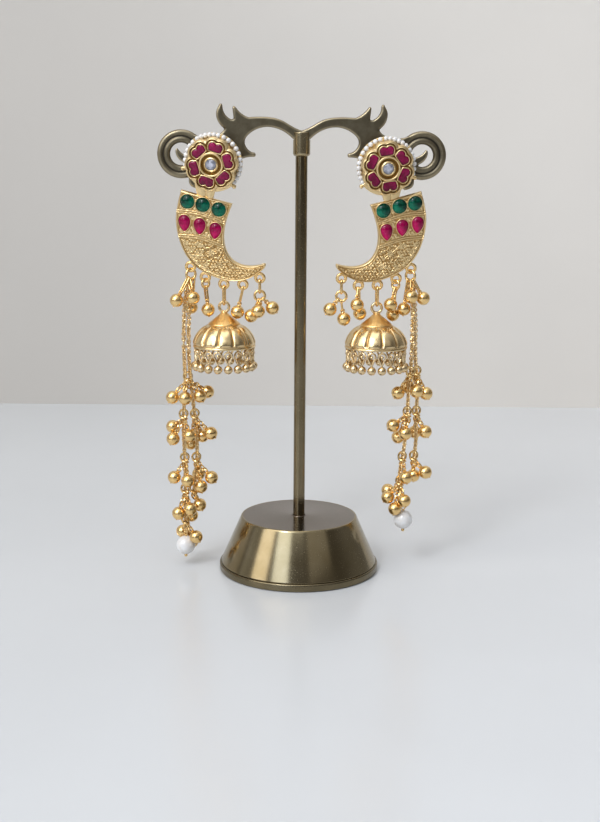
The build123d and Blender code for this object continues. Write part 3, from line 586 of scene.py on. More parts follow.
# %% The gold of the flower
RING_R, RING_WIRE = 3.72, 0.36
BEZEL = ((2.50, 1.0), (2.50, 0.15), (2.42, -0.02), (2.28, -0.12), (2.12, -0.28), (1.96, -0.32), (1.86, -0.26),
         (1.86, 1.0))
CELL_WIRE = ((0.03, 0.98), (0.03, -0.02), (0.10, -0.15), (0.22, -0.20), (0.34, -0.15), (0.42, -0.02),
             (0.42, 0.98))
RIM = ((0.88, 1.02), (0.88, 0.02), (0.95, -0.13), (1.06, -0.17), (1.17, -0.10), (1.26, 0.02), (1.45, 0.06),
       (1.58, 0.22), (1.66, 0.60), (1.70, 1.6), (1.45, 2.0), (0.9, 2.0))
PLATE = ((9.3, 4.6), (9.65, 4.45), (9.7, 4.2), (9.55, 3.95), (8.3, 3.9), (8.2, 1.8), (7.9, 1.0))
RING_SEAT = ((3.95, 1.0), (3.95, 0.1), (3.5, 0.1), (3.5, 1.0))
DARK_FLOOR = ((8.0, 1.03), (8.0, 0.93))
PRONGS, PRONG_R, PRONG_RUN_R = 6, 0.20, 2.04
DARK = 1           # the flower's second finish, for the floor of its cells


def band(shell, outlines, centre, section, count, start=0.0):
    """A closed band that follows outlines: its section is (distance out, depth) pairs."""
    shell.loft([at_depth(border(outlines, centre, grow, count, start), depth) for grow, depth in section], loop=True)


def flower_gold(side, outlines):
    """Rim, cell wires, ring, bezel, plates and pins of one flower stud."""
    shell = Shell()
    band(shell, outlines, np.zeros(2), RIM, 216, start=5.6)
    for outline in outlines:
        band(shell, [outline], petal_centre(outline), CELL_WIRE, 72)
    shell.torus((0, 0.02, 0), (0, 1, 0), RING_R, RING_WIRE, around=72, section=12)
    shell.turned(RING_SEAT, 72, axis=1, loop=True)
    shell.turned(BEZEL, 64, axis=1, loop=True)
    for x, z in circle(PRONGS) * PRONG_RUN_R:
        shell.ball((x, -0.30, z), PRONG_R, 12, 8)
    shell.turned(PLATE, 96, axis=1)
    shell.turned(DARK_FLOOR, 96, DARK, axis=1)
    add_pins(shell, side)
    return shell


# %% [markdown]
# ## Rubies, the clear stone and the seed pearls
#
# A flat-topped petal stone is ground with a narrow slope all round, which catches the light as a paler line.
# Each stone's colour holds painted light: it is painted brighter towards its upper left edge and dimmer on the
# slope, and the upper petals are painted brighter than the lower ones.

# %% Stones of the flower
STONE_SECTION = ((0.01, 0.95), (0.01, 0.05), (-0.06, -0.10), (-0.34, -0.26), (-0.60, -0.27))
PETAL_PAINTED_LIGHT = (0.75, 1.0, 0.7, 0.35, 0.15, 0.30)   # painted light by petal, anticlockwise from the right: the upper petals brighter
TO_PAINTED_LIGHT = (-0.105, 0.15)                        # the way in which a petal's painted light grows brighter
CROWN_FACETS = 8
BRILLIANT = ((0.3, 0.95, 0, 0.1), (1.83, 0.10, 0, 0.3), (1.86, -0.05, 0, 0.9), (1.46, -0.42, 1, 0.4),
             (0.96, -0.62, 0, 0.8))               # radius, depth, half turns of the facets, painted light


def petal_stones(outlines):
    """The six petal rubies of one flower, with the painted light of each stored at its points."""
    shell = Shell()
    for outline, painted_light in zip(outlines, PETAL_PAINTED_LIGHT):
        centre = petal_centre(outline)
        rings, painted_lights = [], []
        for grow, depth in STONE_SECTION:
            edge = border([outline], centre, grow, 64)
            rings.append(at_depth(edge, depth))
            painted_lights.append(painted_light * np.clip(0.42 + (edge - centre) @ TO_PAINTED_LIGHT, 0, 1) * (1.0 if grow < -0.1 else 0.35))
        shell.loft(rings, numbers=painted_lights)
    return shell


def brilliant():
    """A round brilliant-cut stone: table, two rows of crown facets, girdle and cone, with painted light that changes
    from facet to facet.
    """
    shell, rings, painted_lights = Shell(), [], []
    angles = np.linspace(0, 2 * pi, CROWN_FACETS * 2, endpoint=False)
    for radius, depth, turn, painted_light in BRILLIANT:
        wave = 1 - 0.05 * np.cos(angles * CROWN_FACETS + turn * pi)
        rings.append(at_depth(radius * wave[:, None] * circle(len(angles)), depth))
        painted_lights.append(painted_light * (0.65 + 0.35 * np.cos(angles * 4 + turn)))
    shell.loft(rings, numbers=painted_lights)
    return shell


# %% [markdown]
# ## The run of seed pearls
#
# Small pearls are threaded round the back plate between gold pins. A Geometry Nodes tree places one pearl at
# each point of a start mesh, with their size as an input, and ends by making them real and giving them their
# finish. The trees of the other repeated pieces begin and end in the same way.

# %% How every tree begins, ends and runs
def start_tree(name, **inputs):
    """A modifier's tree with named inputs: whole numbers become integer inputs."""
    group = bpy.data.node_groups.new(name, "GeometryNodeTree")
    for label, value in [("Geometry", None), *inputs.items()]:
        kind = {type(None): "Geometry", int: "Int"}.get(type(value), "Float")
        socket = group.interface.new_socket(name=label, in_out="INPUT", socket_type="NodeSocket" + kind)
        if value is not None:
            socket.default_value = value
    group.interface.new_socket(name="Geometry", in_out="OUTPUT", socket_type="NodeSocketGeometry")
    tree = Tree(group)
    return tree, tree.node("NodeGroupInput")


def end_tree(tree, geometry, *finishes):
    """Makes every copy real, and gives each selection of faces its finish."""
    made = tree.node("GeometryNodeRealizeInstances", {}, {"Geometry": geometry})
    for finish, selection in finishes:
        made = tree.node("GeometryNodeSetMaterial", {}, {"Geometry": made, "Material": finish,
                                                         "Selection": selection})
    tree.node("NodeGroupOutput", {}, {"Geometry": made})
    return tree.tree


def end_with_copies(tree, shape, material, points, turn, size=(1, 1, 1)):
    """Puts a copy of a shape at each point, and ends the tree."""
    template = tree.node("GeometryNodeObjectInfo", {}, {"Object": shape}, output="Geometry")
    copies = tree.node("GeometryNodeInstanceOnPoints", {}, {"Points": points, "Instance": template,
                                                            "Rotation": turn, "Scale": size})
    return end_tree(tree, copies, (material, True))


def turn_about_z(tree, angle):
    """A rotation by an angle about Z."""
    euler = tree.node("ShaderNodeCombineXYZ", {}, {"Z": angle})
    return tree.node("FunctionNodeEulerToRotation", {}, {"Euler": euler})


def evaluated(carrier):
    """The plain mesh of an object with its modifiers applied. The object goes."""
    bpy.context.view_layer.update()
    result = bpy.data.meshes.new_from_object(carrier.evaluated_get(bpy.context.evaluated_depsgraph_get()))
    bpy.data.objects.remove(carrier)
    return result


def run_tree(name, start_mesh, group, **settings):
    """The plain mesh that a tree makes from a start mesh, with the named inputs set."""
    carrier = in_scene(name, start_mesh)
    modifier = carrier.modifiers.new(name, "NODES")
    modifier.node_group = group
    for socket in group.interface.items_tree:
        if socket.in_out == "INPUT" and socket.name in settings:
            modifier[socket.identifier] = settings[socket.name]
    result = evaluated(carrier)
    result.name = name
    return result


# %% A tree that repeats a shape at points
def aimed_tree(name, shape, material):
    """Copies of a shape at the start mesh's points: Z along their aim, and X along their flat side if stored."""
    tree, given = start_tree(name, Size=1.0)
    aim, flat = [tree.node("GeometryNodeInputNamedAttribute", {"data_type": "FLOAT_VECTOR"}, {"Name": label})
                 for label in ("aim", "flat")]
    turn = tree.node("FunctionNodeAlignRotationToVector", {"axis": "Z"}, {"Vector": aim})
    turn = tree.node("FunctionNodeAlignRotationToVector", {"axis": "X", "pivot_axis": "Z"},
                     {"Rotation": turn, "Vector": flat})
    points = tree.node("GeometryNodeMeshToPoints", {}, {"Mesh": given.out("Geometry")})
    return end_with_copies(tree, shape, material, points, turn, given.out("Size"))


def mesh_of_points(name, places, edges=(), **stored):
    """Loose points in millimetres, joined by edges, with the directions that are stored at them."""
    mesh = bpy.data.meshes.new(name)
    mesh.from_pydata((np.array(places) * MM).tolist(), list(edges), [])
    for label, ways in stored.items():
        mesh.attributes.new(label, "FLOAT_VECTOR", "POINT").data.foreach_set("vector", np.ravel(ways))
    return mesh


# %% Seed pearls and pins
PEARL_R, PEARL_RUN_R, PEARL_DEPTH = 0.84, 9.2, 3.0
PEARL_STEP, PEARL_TO_PIN = 1.60, 5.6
PIN_ANGLES = (-48, 14, 70, 127, 190)
PIN_DEPTH, THICK_PIN, THIN_PIN = PEARL_DEPTH - 0.2, 0.62, 0.36
PIN_STEM, PIN_HEAD, PIN_BALL_AT, PIN_BALL_R = (8.1, 9.8), (9.4, 9.9), 10.3, 0.7


def seed_pearl_mesh(side):
    """All the seed pearls of one flower."""
    places, aims = [], []
    for first, last in zip(PIN_ANGLES, PIN_ANGLES[1:]):
        sweep = last - first - 2 * PEARL_TO_PIN
        for share in np.linspace(0, 1, 1 + round(radians(sweep) * PEARL_RUN_R / PEARL_STEP)):
            angle = radians(TURN[side] + first + PEARL_TO_PIN + share * sweep)
            places.append(flower_matrix(side) @ Vector((PEARL_RUN_R * cos(angle), PEARL_DEPTH,
                                                        PEARL_RUN_R * sin(angle))))
            aims.append((sin(angle), 0.3, cos(angle)))
    return run_tree("seed_pearls_" + side, mesh_of_points("pearl_places", places, aim=aims), pearl_tree, Size=1.0)


def add_pins(shell, side):
    """Gold pins between the runs of pearls: thin ones, and a thick short one at each end."""
    for angle in PIN_ANGLES:
        turn = radians(angle + TURN[side])
        out = Vector((cos(turn), 0, sin(turn)))
        at_end = angle in (PIN_ANGLES[0], PIN_ANGLES[-1])
        thick = THICK_PIN if at_end else THIN_PIN
        spin = np.array(out.to_track_quat("Z", "Y").to_matrix())
        for r, (near, far) in ((thick, PIN_STEM), (thick * 1.15, PIN_HEAD)):
            shell.turned(((r * 0.8, near), (r, near + 0.1), (r, far - 0.12), (r * 0.7, far)), 16,
                         centre=(0, PIN_DEPTH, 0), spin=spin)
        if at_end:
            shell.ball(out * PIN_BALL_AT + Vector((0, PIN_DEPTH, 0)), PIN_BALL_R, 16, 10)


little_pearl = Shell()
little_pearl.ball((0, 0, 0), PEARL_R, 20, 12)
pearl_template = in_scene("pearl_template", little_pearl.mesh("little_pearl", [pearl_white]))
pearl_tree = aimed_tree("pearl_run", pearl_template, pearl_white)
for side in SIDES:
    outlines, place = petal_outlines(side), flower_matrix(side)
    for name, shell, finishes, stored, sharp, slot, node in (
            ("flower", flower_gold(side, outlines), [satin_gold, cell_floor_gold], None, 38, "gold", "frame"),
            ("petals", petal_stones(outlines), [petal_ruby], "painted_light", 25, "ruby", "petal_rubies"),
            ("clear_stone", brilliant(), [clear_stone], "painted_light", 5, "clear_stone", "centre_stone")):
        mesh = shell.mesh(f"{name}_{side}", finishes, place, stored, sharp)
        add_piece(f"{name}_{side}", mesh, "stand", slot, f"{node}_{side}")
    add_piece(f"pearl_run_{side}", seed_pearl_mesh(side), "stand", "pearl", f"seed_pearls_{side}")
bpy.data.objects.remove(pearl_template)

# %% [markdown]
# ## The tiger-claw plate
#
# The claw is struck from sheet, so its front is one skin: a slightly crowned ground with a raised border, two
# double ridges, and chased scrolls on the lower part. A fine grid is laid between the inner and the outer
# edge, and each of its points is raised by the sum of those reliefs. Real relief catches light from every
# side, which a painted pattern would not.

# %% The claw's grid
CLAW_OUTER = ((-11.7, -8.4), (-13.9, -16.5), (-13.4, -25.0), (-9.1, -33.4), (-1.5, -38.0), (5.5, -39.2),
              (11.5, -37.5), (15.2, -34.8))
CLAW_INNER = ((5.3, -12.9), (2.3, -21.5), (2.3, -27.5), (4.6, -31.8), (9.5, -33.8), (15.2, -33.1))
CLAW_FRONT, CLAW_BACK = 2.6, 3.8
ROWS, COLUMNS = 290, 104
TIP_REACH, TIP_FROM = 0.85, 0.93          # how far the rounded tip stands out, and the share where it begins
outer_edge, inner_edge = smooth_curve(CLAW_OUTER, ROWS), smooth_curve(CLAW_INNER, ROWS)
along, across = np.linspace(0, 1, ROWS)[:, None], np.linspace(0, 1, COLUMNS)[None, :]
claw_width = np.linalg.norm(outer_edge - inner_edge, axis=1)[:, None]
roundness = np.clip(1 - (2 * across - 1) ** 2, 0, 1)
tip_way = outer_edge[-1] - outer_edge[-8]
tip_push = TIP_REACH * np.sqrt(roundness) * np.clip((along - TIP_FROM) / (1 - TIP_FROM), 0, 1)
claw_flat = (inner_edge[:, None] * (1 - across[..., None]) + outer_edge[:, None] * across[..., None]
             + tip_push[..., None] * tip_way / np.linalg.norm(tip_way))
RIDGES = (((-13.7, -15.4), (-6.6, -15.9), (2.9, -19.4)), ((-13.5, -23.7), (-7.0, -24.1), (2.4, -27.4)))
below_ridge = claw_flat[..., 1] < np.interp(claw_flat[..., 0], *np.transpose(RIDGES[1])) - 0.8
EMERALDS = ((-9.6, -12.1), (-4.4, -13.1), (0.9, -14.6))
RUBIES = ((-11.0, -19.4, 1.0), (-5.8, -20.4, 4.0), (-0.6, -21.9, 8.0))   # the last number tilts the point outwards

# %% [markdown]
# ## Chased ornament
#
# A chaser draws with short strokes of a punch. Here every stroke is a curve, and the relief is highest on it
# and falls away on both sides. A flower sits under the second ridge, leaves spread round it, short strokes
# follow both edges, and small curls fill the rest, as on much traditional temple jewellery.

# %% Strokes of the ornament
STROKE_STEP, LEAF_WIDTH, PETAL_WIDTH = 0.09, 0.62, 0.75
FLOWER_MIDDLE, FLOWER_R, FLOWER_HEART = np.array([-2.2, -29.3]), 2.5, 0.6
LEAVES = (((-5.4, -27.4), 150, 2.6), ((-5.6, -30.0), 195, 2.6), ((0.2, -27.8), 40, 1.9), ((-0.2, -32.6), 300, 2.2),
          ((-4.0, -32.6), 245, 2.4))      # root, direction, length
EDGE_STROKES = ((np.linspace(0.285, 0.955, 40), ((0, 0.91), (0.014, 0.80), (0.036, 0.68))),
                (np.linspace(0.60, 0.95, 20), ((0, -0.84), (0.012, -0.72), (0.030, -0.60))))


def draw(points):
    """A smooth stroke through a few points, as evenly spaced points."""
    return smooth_curve(points, max(4, int(run_along(np.asarray(points, float))[-1] / STROKE_STEP)))


def spiral(centre, radius, start, turns):
    """A scroll that winds inwards from a start angle, in turns of a circle."""
    share = np.linspace(0, 1, max(12, int(radius * abs(turns) * 40)))[:, None]
    angle = radians(start) + 2 * pi * turns * share
    return np.asarray(centre) + radius * (1 - 0.78 * share) * np.concatenate([np.cos(angle), np.sin(angle)], axis=1)


def leaf(root, degrees, length, width):
    """Two curved sides and a vein."""
    way = np.array([cos(radians(degrees)), sin(radians(degrees))])
    middle, side = root + way * length * 0.45, np.array([-way[1], way[0]]) * width
    return [draw([root, middle + bow, root + way * length * reach])
            for bow, reach in ((side, 1), (-side, 1), (0, 0.8))]


def on_claw(v, t):
    """A point of the claw: v from the top to the tip, t from -1 at the inner edge to 1 at the outer."""
    row = min(ROWS - 1, int(round(v * (ROWS - 1))))
    return inner_edge[row] * (1 - t) / 2 + outer_edge[row] * (1 + t) / 2


def curl_field(ground, kept_clear, clear, step):
    """Small curls on a loose grid over a stretch of ground, outside what is kept clear."""
    dice, made = np.random.default_rng(7), []
    low, high = ground.min(0), ground.max(0)
    for row, z in enumerate(np.arange(low[1], high[1], step * 0.87)):
        for x in np.arange(low[0] + (row % 2) * step / 2, high[0], step):
            place = np.array((x, z)) + dice.uniform(-0.16, 0.16, 2)
            start, hand, size = dice.uniform(0, 360), dice.choice((-1, 1)), dice.uniform(0.34, 0.46)
            if np.linalg.norm(kept_clear - place, axis=1).min() >= clear and \
                    np.linalg.norm(ground - place, axis=1).min() <= 0.15:
                hook = np.array(((1, 0), (1.25, 0.5 * hand), (1.1, hand)))
                made += [spiral(place, size, start, hand * 1.15), draw(place + hook * size)]
    return made


def ornament():
    """Every stroke of the claw's lower part: a flower, leaves, strokes along the edges, and curls between them."""
    strokes = [spiral(FLOWER_MIDDLE, 0.55, 0, 1.6)]
    for angle in range(20, 380, 60):
        way = np.array([cos(radians(angle)), sin(radians(angle))])
        strokes += leaf(FLOWER_MIDDLE + FLOWER_HEART * way, angle, FLOWER_R - FLOWER_HEART, PETAL_WIDTH)
    for root, way, length in LEAVES:
        strokes += leaf(np.array(root), way, length, LEAF_WIDTH)
    for rows, bend in EDGE_STROKES:
        strokes += [draw([on_claw(v + further, t) for further, t in bend]) for v in rows]
    return np.concatenate(strokes + curl_field(claw_flat[below_ridge], FLOWER_MIDDLE[None], FLOWER_R + 0.2, 1.12))


def upper_ornament():
    """Small curls between the stones."""
    stones = np.array([place[:2] for place in EMERALDS + RUBIES])
    return np.concatenate(curl_field(claw_flat[~below_ridge], stones, 2.75, 1.05))


# %% Relief of the claw
CROWN, BORDER_AT, BORDER_H, RIDGE_H, CHASED_H, CURL_H = 0.55, 0.34, 0.26, 0.28, 0.26, 0.20
EDGE_FALL, RIDGE_APART = 0.35, 0.36


def hump(away, width):
    """1 where there is no distance, and less away from there over the given width."""
    return np.exp(-(away / width) ** 2)


def distance_to(lines):
    """How far each point of the claw's grid is from the nearest stroke."""
    tree = KDTree(len(lines))
    for number, (x, y) in enumerate(lines):
        tree.insert((x, y, 0), number)
    tree.balance()
    return np.array([tree.find((x, y, 0))[2] for x, y in claw_flat.reshape(-1, 2)]).reshape(ROWS, COLUMNS)


edge_gap = np.minimum(np.minimum(across, 1 - across) * claw_width, along * 40.0)
edge_gap = np.minimum(edge_gap, (1 - along) * 34.0 + 0.1)
crown = CROWN * roundness ** 0.7 * np.clip(claw_width / 9, 0, 1)
border_wire = hump(edge_gap - BORDER_AT, 0.24)
ridge_gap = distance_to(np.concatenate([draw([(x, z + rise) for x, z in ridge])
                                        for ridge in RIDGES for rise in (-RIDGE_APART, RIDGE_APART)]))
ridge_near = hump(ridge_gap, 0.20)
inside = np.clip((edge_gap - 0.75) / 0.25, 0, 1)
chased = hump(distance_to(ornament()), 0.13) * inside * below_ridge
curls = hump(distance_to(upper_ornament()), 0.15) * inside * ~below_ridge * (1 - ridge_near)
relief = (BORDER_H * border_wire + RIDGE_H * ridge_near + CHASED_H * chased + CURL_H * curls
          - EDGE_FALL * np.clip(1 - edge_gap / 0.16, 0, 1) ** 2)
claw_depth = CLAW_FRONT - crown - relief
# Painted shade and dirt: the ground between the raised lines is darker, and a band just inside the border and both
# sides of each ridge get more painted shade.
claw_shade_and_dirt = np.clip(1 - chased - curls - border_wire - ridge_near, 0, 1) * np.clip(edge_gap / 0.4, 0, 1)
claw_shade_and_dirt *= 0.80 + 0.06 * below_ridge + 0.22 * hump(edge_gap - 0.85, 0.2)
ridge_side_shade = hump(ridge_gap, 0.55) * (1 - ridge_near)
claw_shade_and_dirt = np.maximum(claw_shade_and_dirt, 1.2 * ridge_side_shade * np.clip(edge_gap / 0.8, 0, 1))
print("claw grid:", claw_flat.shape, "highest relief, mm:", round(float(CLAW_FRONT - claw_depth.min()), 2))


def ground_at(place):
    """The depth of the claw's ground near a place."""
    return CLAW_FRONT - crown.flat[((claw_flat - place) ** 2).sum(2).argmin()]


def add_claw(shell):
    """The claw plate as one closed skin: relief in front, a rounded edge, a plain back."""
    count = ROWS * COLUMNS
    grid = len(shell.points) + np.arange(count).reshape(ROWS, COLUMNS)
    for depth, hollow in ((claw_depth, claw_shade_and_dirt), (CLAW_BACK - 0.6 * crown, 0.3)):
        shell.points += at_depth(claw_flat.reshape(-1, 2), depth.ravel()).tolist()
        shell.numbers += np.broadcast_to(hollow, grid.shape).ravel().tolist()
    front = np.stack([grid[:-1, :-1], grid[1:, :-1], grid[1:, 1:], grid[:-1, 1:]], axis=-1).reshape(-1, 4)
    rim = np.concatenate([grid[0, :-1], grid[:-1, -1], grid[-1, :0:-1], grid[:0:-1, 0]])
    wall = np.stack([rim, np.roll(rim, -1), np.roll(rim, -1) + count, rim + count], axis=-1)
    shell.add_faces(np.concatenate([front, front[:, [0, 3, 2, 1]] + count, wall]).tolist())


# %% [markdown]
# ## Settings, loops and neck
#
# Each stone of the claw sits in a thin wall of gold that is rubbed over its edge. The loops along the lower
# edge are found on the carried-over frame, so that the links that are already hung on them still fit.

# %% Settings and neck
EMERALD_R, EMERALD_H = 2.46, 1.55
RUBY_R, RUBY_L, RUBY_H = 2.08, 5.8, 1.35
LOOP_R, LOOP_WIRE = 1.46, 0.54
LOOPS_BELOW, CLEAR_OF_EDGE, BETWEEN_LOOPS = -22, 0.6, 0.8
WALL = ((0.28, 0.5), (0.28, -0.22), (0.22, -0.36), (0.12, -0.42), (0.02, -0.40), (-0.05, -0.30), (-0.05, 0.5))
EAR_POST = ((0.45, 4.3), (0.45, 13.9), (0.25, 14.2))
NECK_TOP, NECK_BOTTOM = np.array((-1.7, -6.4, 3.7)), np.array((-2.0, -12.3, 2.4))   # middle x, z and half width
NECK_FRONT, NECK_BACK, NECK_FLUTES = 2.75, 4.0, 2
NECK_SHIFT = {"left": -1.6, "right": 0.4}


def pear(x, z, tilt):
    """A pear outline whose point is downwards, tilted by some degrees."""
    lift = RUBY_L / 2 - RUBY_R
    tip = lift - (RUBY_L - RUBY_R)
    shoulder, side = (RUBY_R * 0.7071, lift + RUBY_R * 0.7071), (RUBY_R, lift)
    half = np.concatenate([arc((0, lift + RUBY_R), shoulder, side, 12),
                           arc(side, (0.77 * RUBY_R, (lift + tip) / 2), (0.22, tip + 0.16), 14)[1:], [(0, tip)]])
    return turned_by(np.concatenate([half, half[-2:0:-1] * (-1, 1)]), -tilt) + (x, z)


# The outline, middle and dome height of each stone.
emeralds = [(place + circle(48) * EMERALD_R, np.array(place), EMERALD_H) for place in EMERALDS]
rubies = [(pear(x, z, tilt), np.array([x, z + 0.6]), RUBY_H) for x, z, tilt in RUBIES]


def dome(shell, outline, centre, height):
    """A cabochon: a cap of a ball over an outline. Its painted light is brightest on the side away from the lamp,
    towards the lower right.
    """
    ground = ground_at(centre)
    rings, painted_lights = [at_depth(outline, ground + 0.3)], [0.0]
    reach = np.linalg.norm(outline - centre, axis=1).mean()
    bulge = height / reach
    sphere = (1 + bulge ** 2) / (2 * bulge)
    for rise in np.linspace(0, 1, 12) ** 0.8:
        share = sqrt(max(0.0, sphere ** 2 - (sphere - bulge + bulge * rise) ** 2)) * 0.98 + 0.02
        edge = (outline - centre) * share
        rings.append(at_depth(centre + edge, ground - 0.12 - (height - 0.12) * rise))
        painted_lights.append(np.clip(0.22 + 0.95 * (edge @ (0.55, -0.83)) / reach * (0.35 + rise), 0, 1))
    shell.loft(rings, numbers=painted_lights)


def loop_places(side):
    """Middles of the soldered loops: what lies clear outside the claw's lower edge on the frame."""
    vertices = frame["nodes"]["frame_" + side].data.vertices
    places = np.empty(len(vertices) * 3)
    vertices.foreach_get("co", places)
    back = np.array((Matrix.Scale(MM, 4) @ earring_matrix(side)).inverted())
    local = (places.reshape(-1, 3) @ back[:3, :3].T + back[:3, 3])[:, [0, 2]]
    local = local[local[:, 1] < LOOPS_BELOW]
    outline = np.concatenate([outer_edge, inner_edge[::-1]])[::6]
    local = local[distance_outside(local, outline) > CLEAR_OF_EDGE]
    local = local[local[:, 0].argsort()]
    gaps = np.nonzero(np.diff(local[:, 0]) > BETWEEN_LOOPS)[0]
    return [fit_round(group)[0] for group in np.split(local, gaps + 1)]


def add_neck(shell, side):
    """The fluted strap that joins the flower to the claw."""
    t, rings = np.linspace(-1, 1, 49), []
    for share in np.linspace(0, 1, 14):
        x, z, half = NECK_TOP * (1 - share) + NECK_BOTTOM * share
        flutes = 0.30 * np.abs(np.sin(t * pi * NECK_FLUTES / 2)) ** 0.6
        front = np.stack([x + NECK_SHIFT[side] + half * t, NECK_FRONT - flutes - 0.15 * share,
                          z + 0.9 * np.abs(t) * share], axis=1)
        rings.append(np.concatenate([front, front[::-1] * (1, 0, 1) + (0, NECK_BACK, 0)]))
    shell.loft(rings)


def claw_gold(side):
    """Claw plate, settings, loops, neck and ear post of one earring."""
    shell = Shell()
    add_claw(shell)
    for outline, centre, height in emeralds + rubies:
        band(shell, [outline], centre, [(grow, ground_at(centre) + depth) for grow, depth in WALL], 64)
    for x, z in loop_places(side):
        shell.torus((x, (CLAW_FRONT + CLAW_BACK) / 2, z), (0, 1, 0), LOOP_R, LOOP_WIRE, 36, 12, slot=1)
    add_neck(shell, side)
    shell.turned(EAR_POST, 16, axis=1)
    return shell


for side in SIDES:
    place = earring_matrix(side)
    plate = claw_gold(side).mesh(f"claw_{side}", [satin_gold, bead_gold], place, "hollow", 50)
    add_piece(f"claw_{side}", plate, "stand", "gold")
    for name, stones, finish, node, slot in (("emeralds", emeralds, emerald_green, "emeralds", "emerald"),
                                             ("ruby_drops", rubies, drop_ruby, "claw_rubies", "ruby")):
        shell = Shell()
        for each in stones:
            dome(shell, *each)
        add_piece(f"{name}_{side}", shell.mesh(name, [finish], place, "painted_light"), "stand", slot, f"{node}_{side}")

# %% [markdown]
# ## The bells
#
# A jhumka bell is spun from sheet and then fluted over a die, so all its flutes are alike. The plain turned
# shell comes first. A Geometry Nodes tree then moves every point in or out by a rule: the nearer a point is to
# a groove between two lobes, the further it goes in. The number of lobes and the depths are inputs of the tree.

# %% The bell's seat and its turned shell
BELL_DROP = 20.1                       # from the wire the bell swings on down to its rim
BELL_PROFILE = np.concatenate([
    ((0.03, 10.9), (0.8, 10.7), (5.0, 7.2)), arc((5.0, 7.2), (8.55, 4.45), (10.0, 1.0), 14)[1:],
    ((10.05, 0.3), (10.12, 0.02), (10.35, 0.0), (10.60, 0.05), (10.68, 0.20), (10.68, 0.50), (10.58, 0.66),
     (10.22, 0.72), (10.22, 0.96), (10.62, 1.14)), arc((10.62, 1.14), (9.12, 4.85), (5.62, 7.62), 34)[1:],
    ((5.48, 7.66), (5.44, 7.80), (5.40, 7.94), (5.1, 8.22), (4.6, 8.66), (3.9, 9.24), (3.1, 9.88), (2.3, 10.50),
     (1.6, 11.10), (1.15, 11.5), (1.2, 11.75), (1.05, 11.95), (0.5, 12.05), (0.03, 12.06))])
BELL_AROUND, CAP_FROM, CAP_RING_AT = 240, 7.6, 12.02
EYE_AT, EYE_R, EYE_WIRE = 13.6, 1.68, 0.5
FLUTING = {"Lobes": 12, "Groove": 0.55, "Bulge": 0.18, "Low": 1.15, "High": 7.5}
TO_MM = Matrix.Scale(1 / MM, 4)


def seat(side):
    """The matrix that takes the bell's own millimetres to the shared frame."""
    joint = next(joint for joint in frame["joints"] if joint["name"] == f"bell_{side}_swing")
    wire, swing, up = Vector(joint["pos_m"]), Vector(joint["axis"]).normalized(), Vector((0, 0, 1))
    turned = Matrix((swing, up.cross(swing), up)).transposed().to_4x4()
    return Matrix.Translation(wire - up * BELL_DROP * MM) @ turned @ Matrix.Scale(MM, 4)


# %% The flute tree
def flute_tree(name):
    """Moves the dome's points in at the grooves and out on the lobes, and stores how deep in a groove each one lies,
    as painted shade and dirt.
    """
    tree, given = start_tree(name, **FLUTING)
    x, y, z = [tree.part(tree.node("GeometryNodeInputPosition"), axis) for axis in "XYZ"]
    from_groove = (y.math("ARCTAN2", x) * given.out("Lobes") * 0.5).math("SINE").math("ABSOLUTE")
    height = (z - given.out("Low")) / (given.out("High") - given.out("Low"))
    reach = height.between(0.0, 0.10) * (1 - height.between(0.86, 1.0))
    groove = (1 - from_groove) ** 4 * reach
    move = from_groove * reach * given.out("Bulge") - groove * given.out("Groove")
    radius = (x * x + y * y + 1e-9).math("SQRT")
    shift = tree.node("ShaderNodeCombineXYZ", {}, {"X": x / radius * move, "Y": y / radius * move})
    stored = tree.node("GeometryNodeStoreNamedAttribute", {"data_type": "FLOAT", "domain": "POINT"},
                       {"Geometry": given.out("Geometry"), "Name": "hollow", "Value": groove})
    moved = tree.node("GeometryNodeSetPosition", {}, {"Geometry": stored, "Offset": shift})
    return end_tree(tree, moved, (bright_gold, True), (cap_gold, z.math("GREATER_THAN", CAP_FROM)))


# %% Bells
flutes = flute_tree("bell_flutes")
for side in SIDES:
    wall, eye = Shell(), Shell()
    wall.turned(BELL_PROFILE, BELL_AROUND)
    shaped = run_tree("bell", wall.mesh("bell", [bright_gold, cap_gold], TO_MM), flutes, **FLUTING)
    shaped.transform(seat(side))
    eye.torus((0, 0, EYE_AT), (0, 1, 0), EYE_R, EYE_WIRE, 48, 16)
    eye.torus((0, 0, CAP_RING_AT), (0, 0, 1), 0.62, 0.22, 32, 10)
    for name, mesh in (("bell_wall", shaped), ("bell_eye", eye.mesh("eye", [bright_gold], TO_MM @ seat(side)))):
        add_piece(f"{name}_{side}", mesh, f"bell_{side}", "polished_gold", f"bell_{side}")

# %% [markdown]
# ## The fringe
#
# Eighteen drops hang round the rim, each a teardrop loop with a granule inside it and a ball below. One drop
# is modelled. A tree lays its copies on a circle and turns each to face outwards; how many there are and how
# wide the circle is are inputs.

# %% One drop and the ring of copies
DROPS, DROP_RUN_R = 18, 9.9
DROP_BALL_R, DROP_BALL_Z = 1.48, -6.55
GRANULE_R, GRANULE_Z = 0.58, -2.0
LOOP_MIDDLE, LOOP_POINT, LOOP_HALF, DROP_WIRE = -1.9, -4.85, 1.29, 0.36
DROP_NECK = ((0.05, -4.4), (0.3, -4.5), (0.42, -4.8), (0.34, -5.1), (0.3, -5.3))
DROP_NIB = ((0.16, DROP_BALL_Z - 1.2), (0.2, DROP_BALL_Z - 1.38), (0.08, DROP_BALL_Z - 1.48))


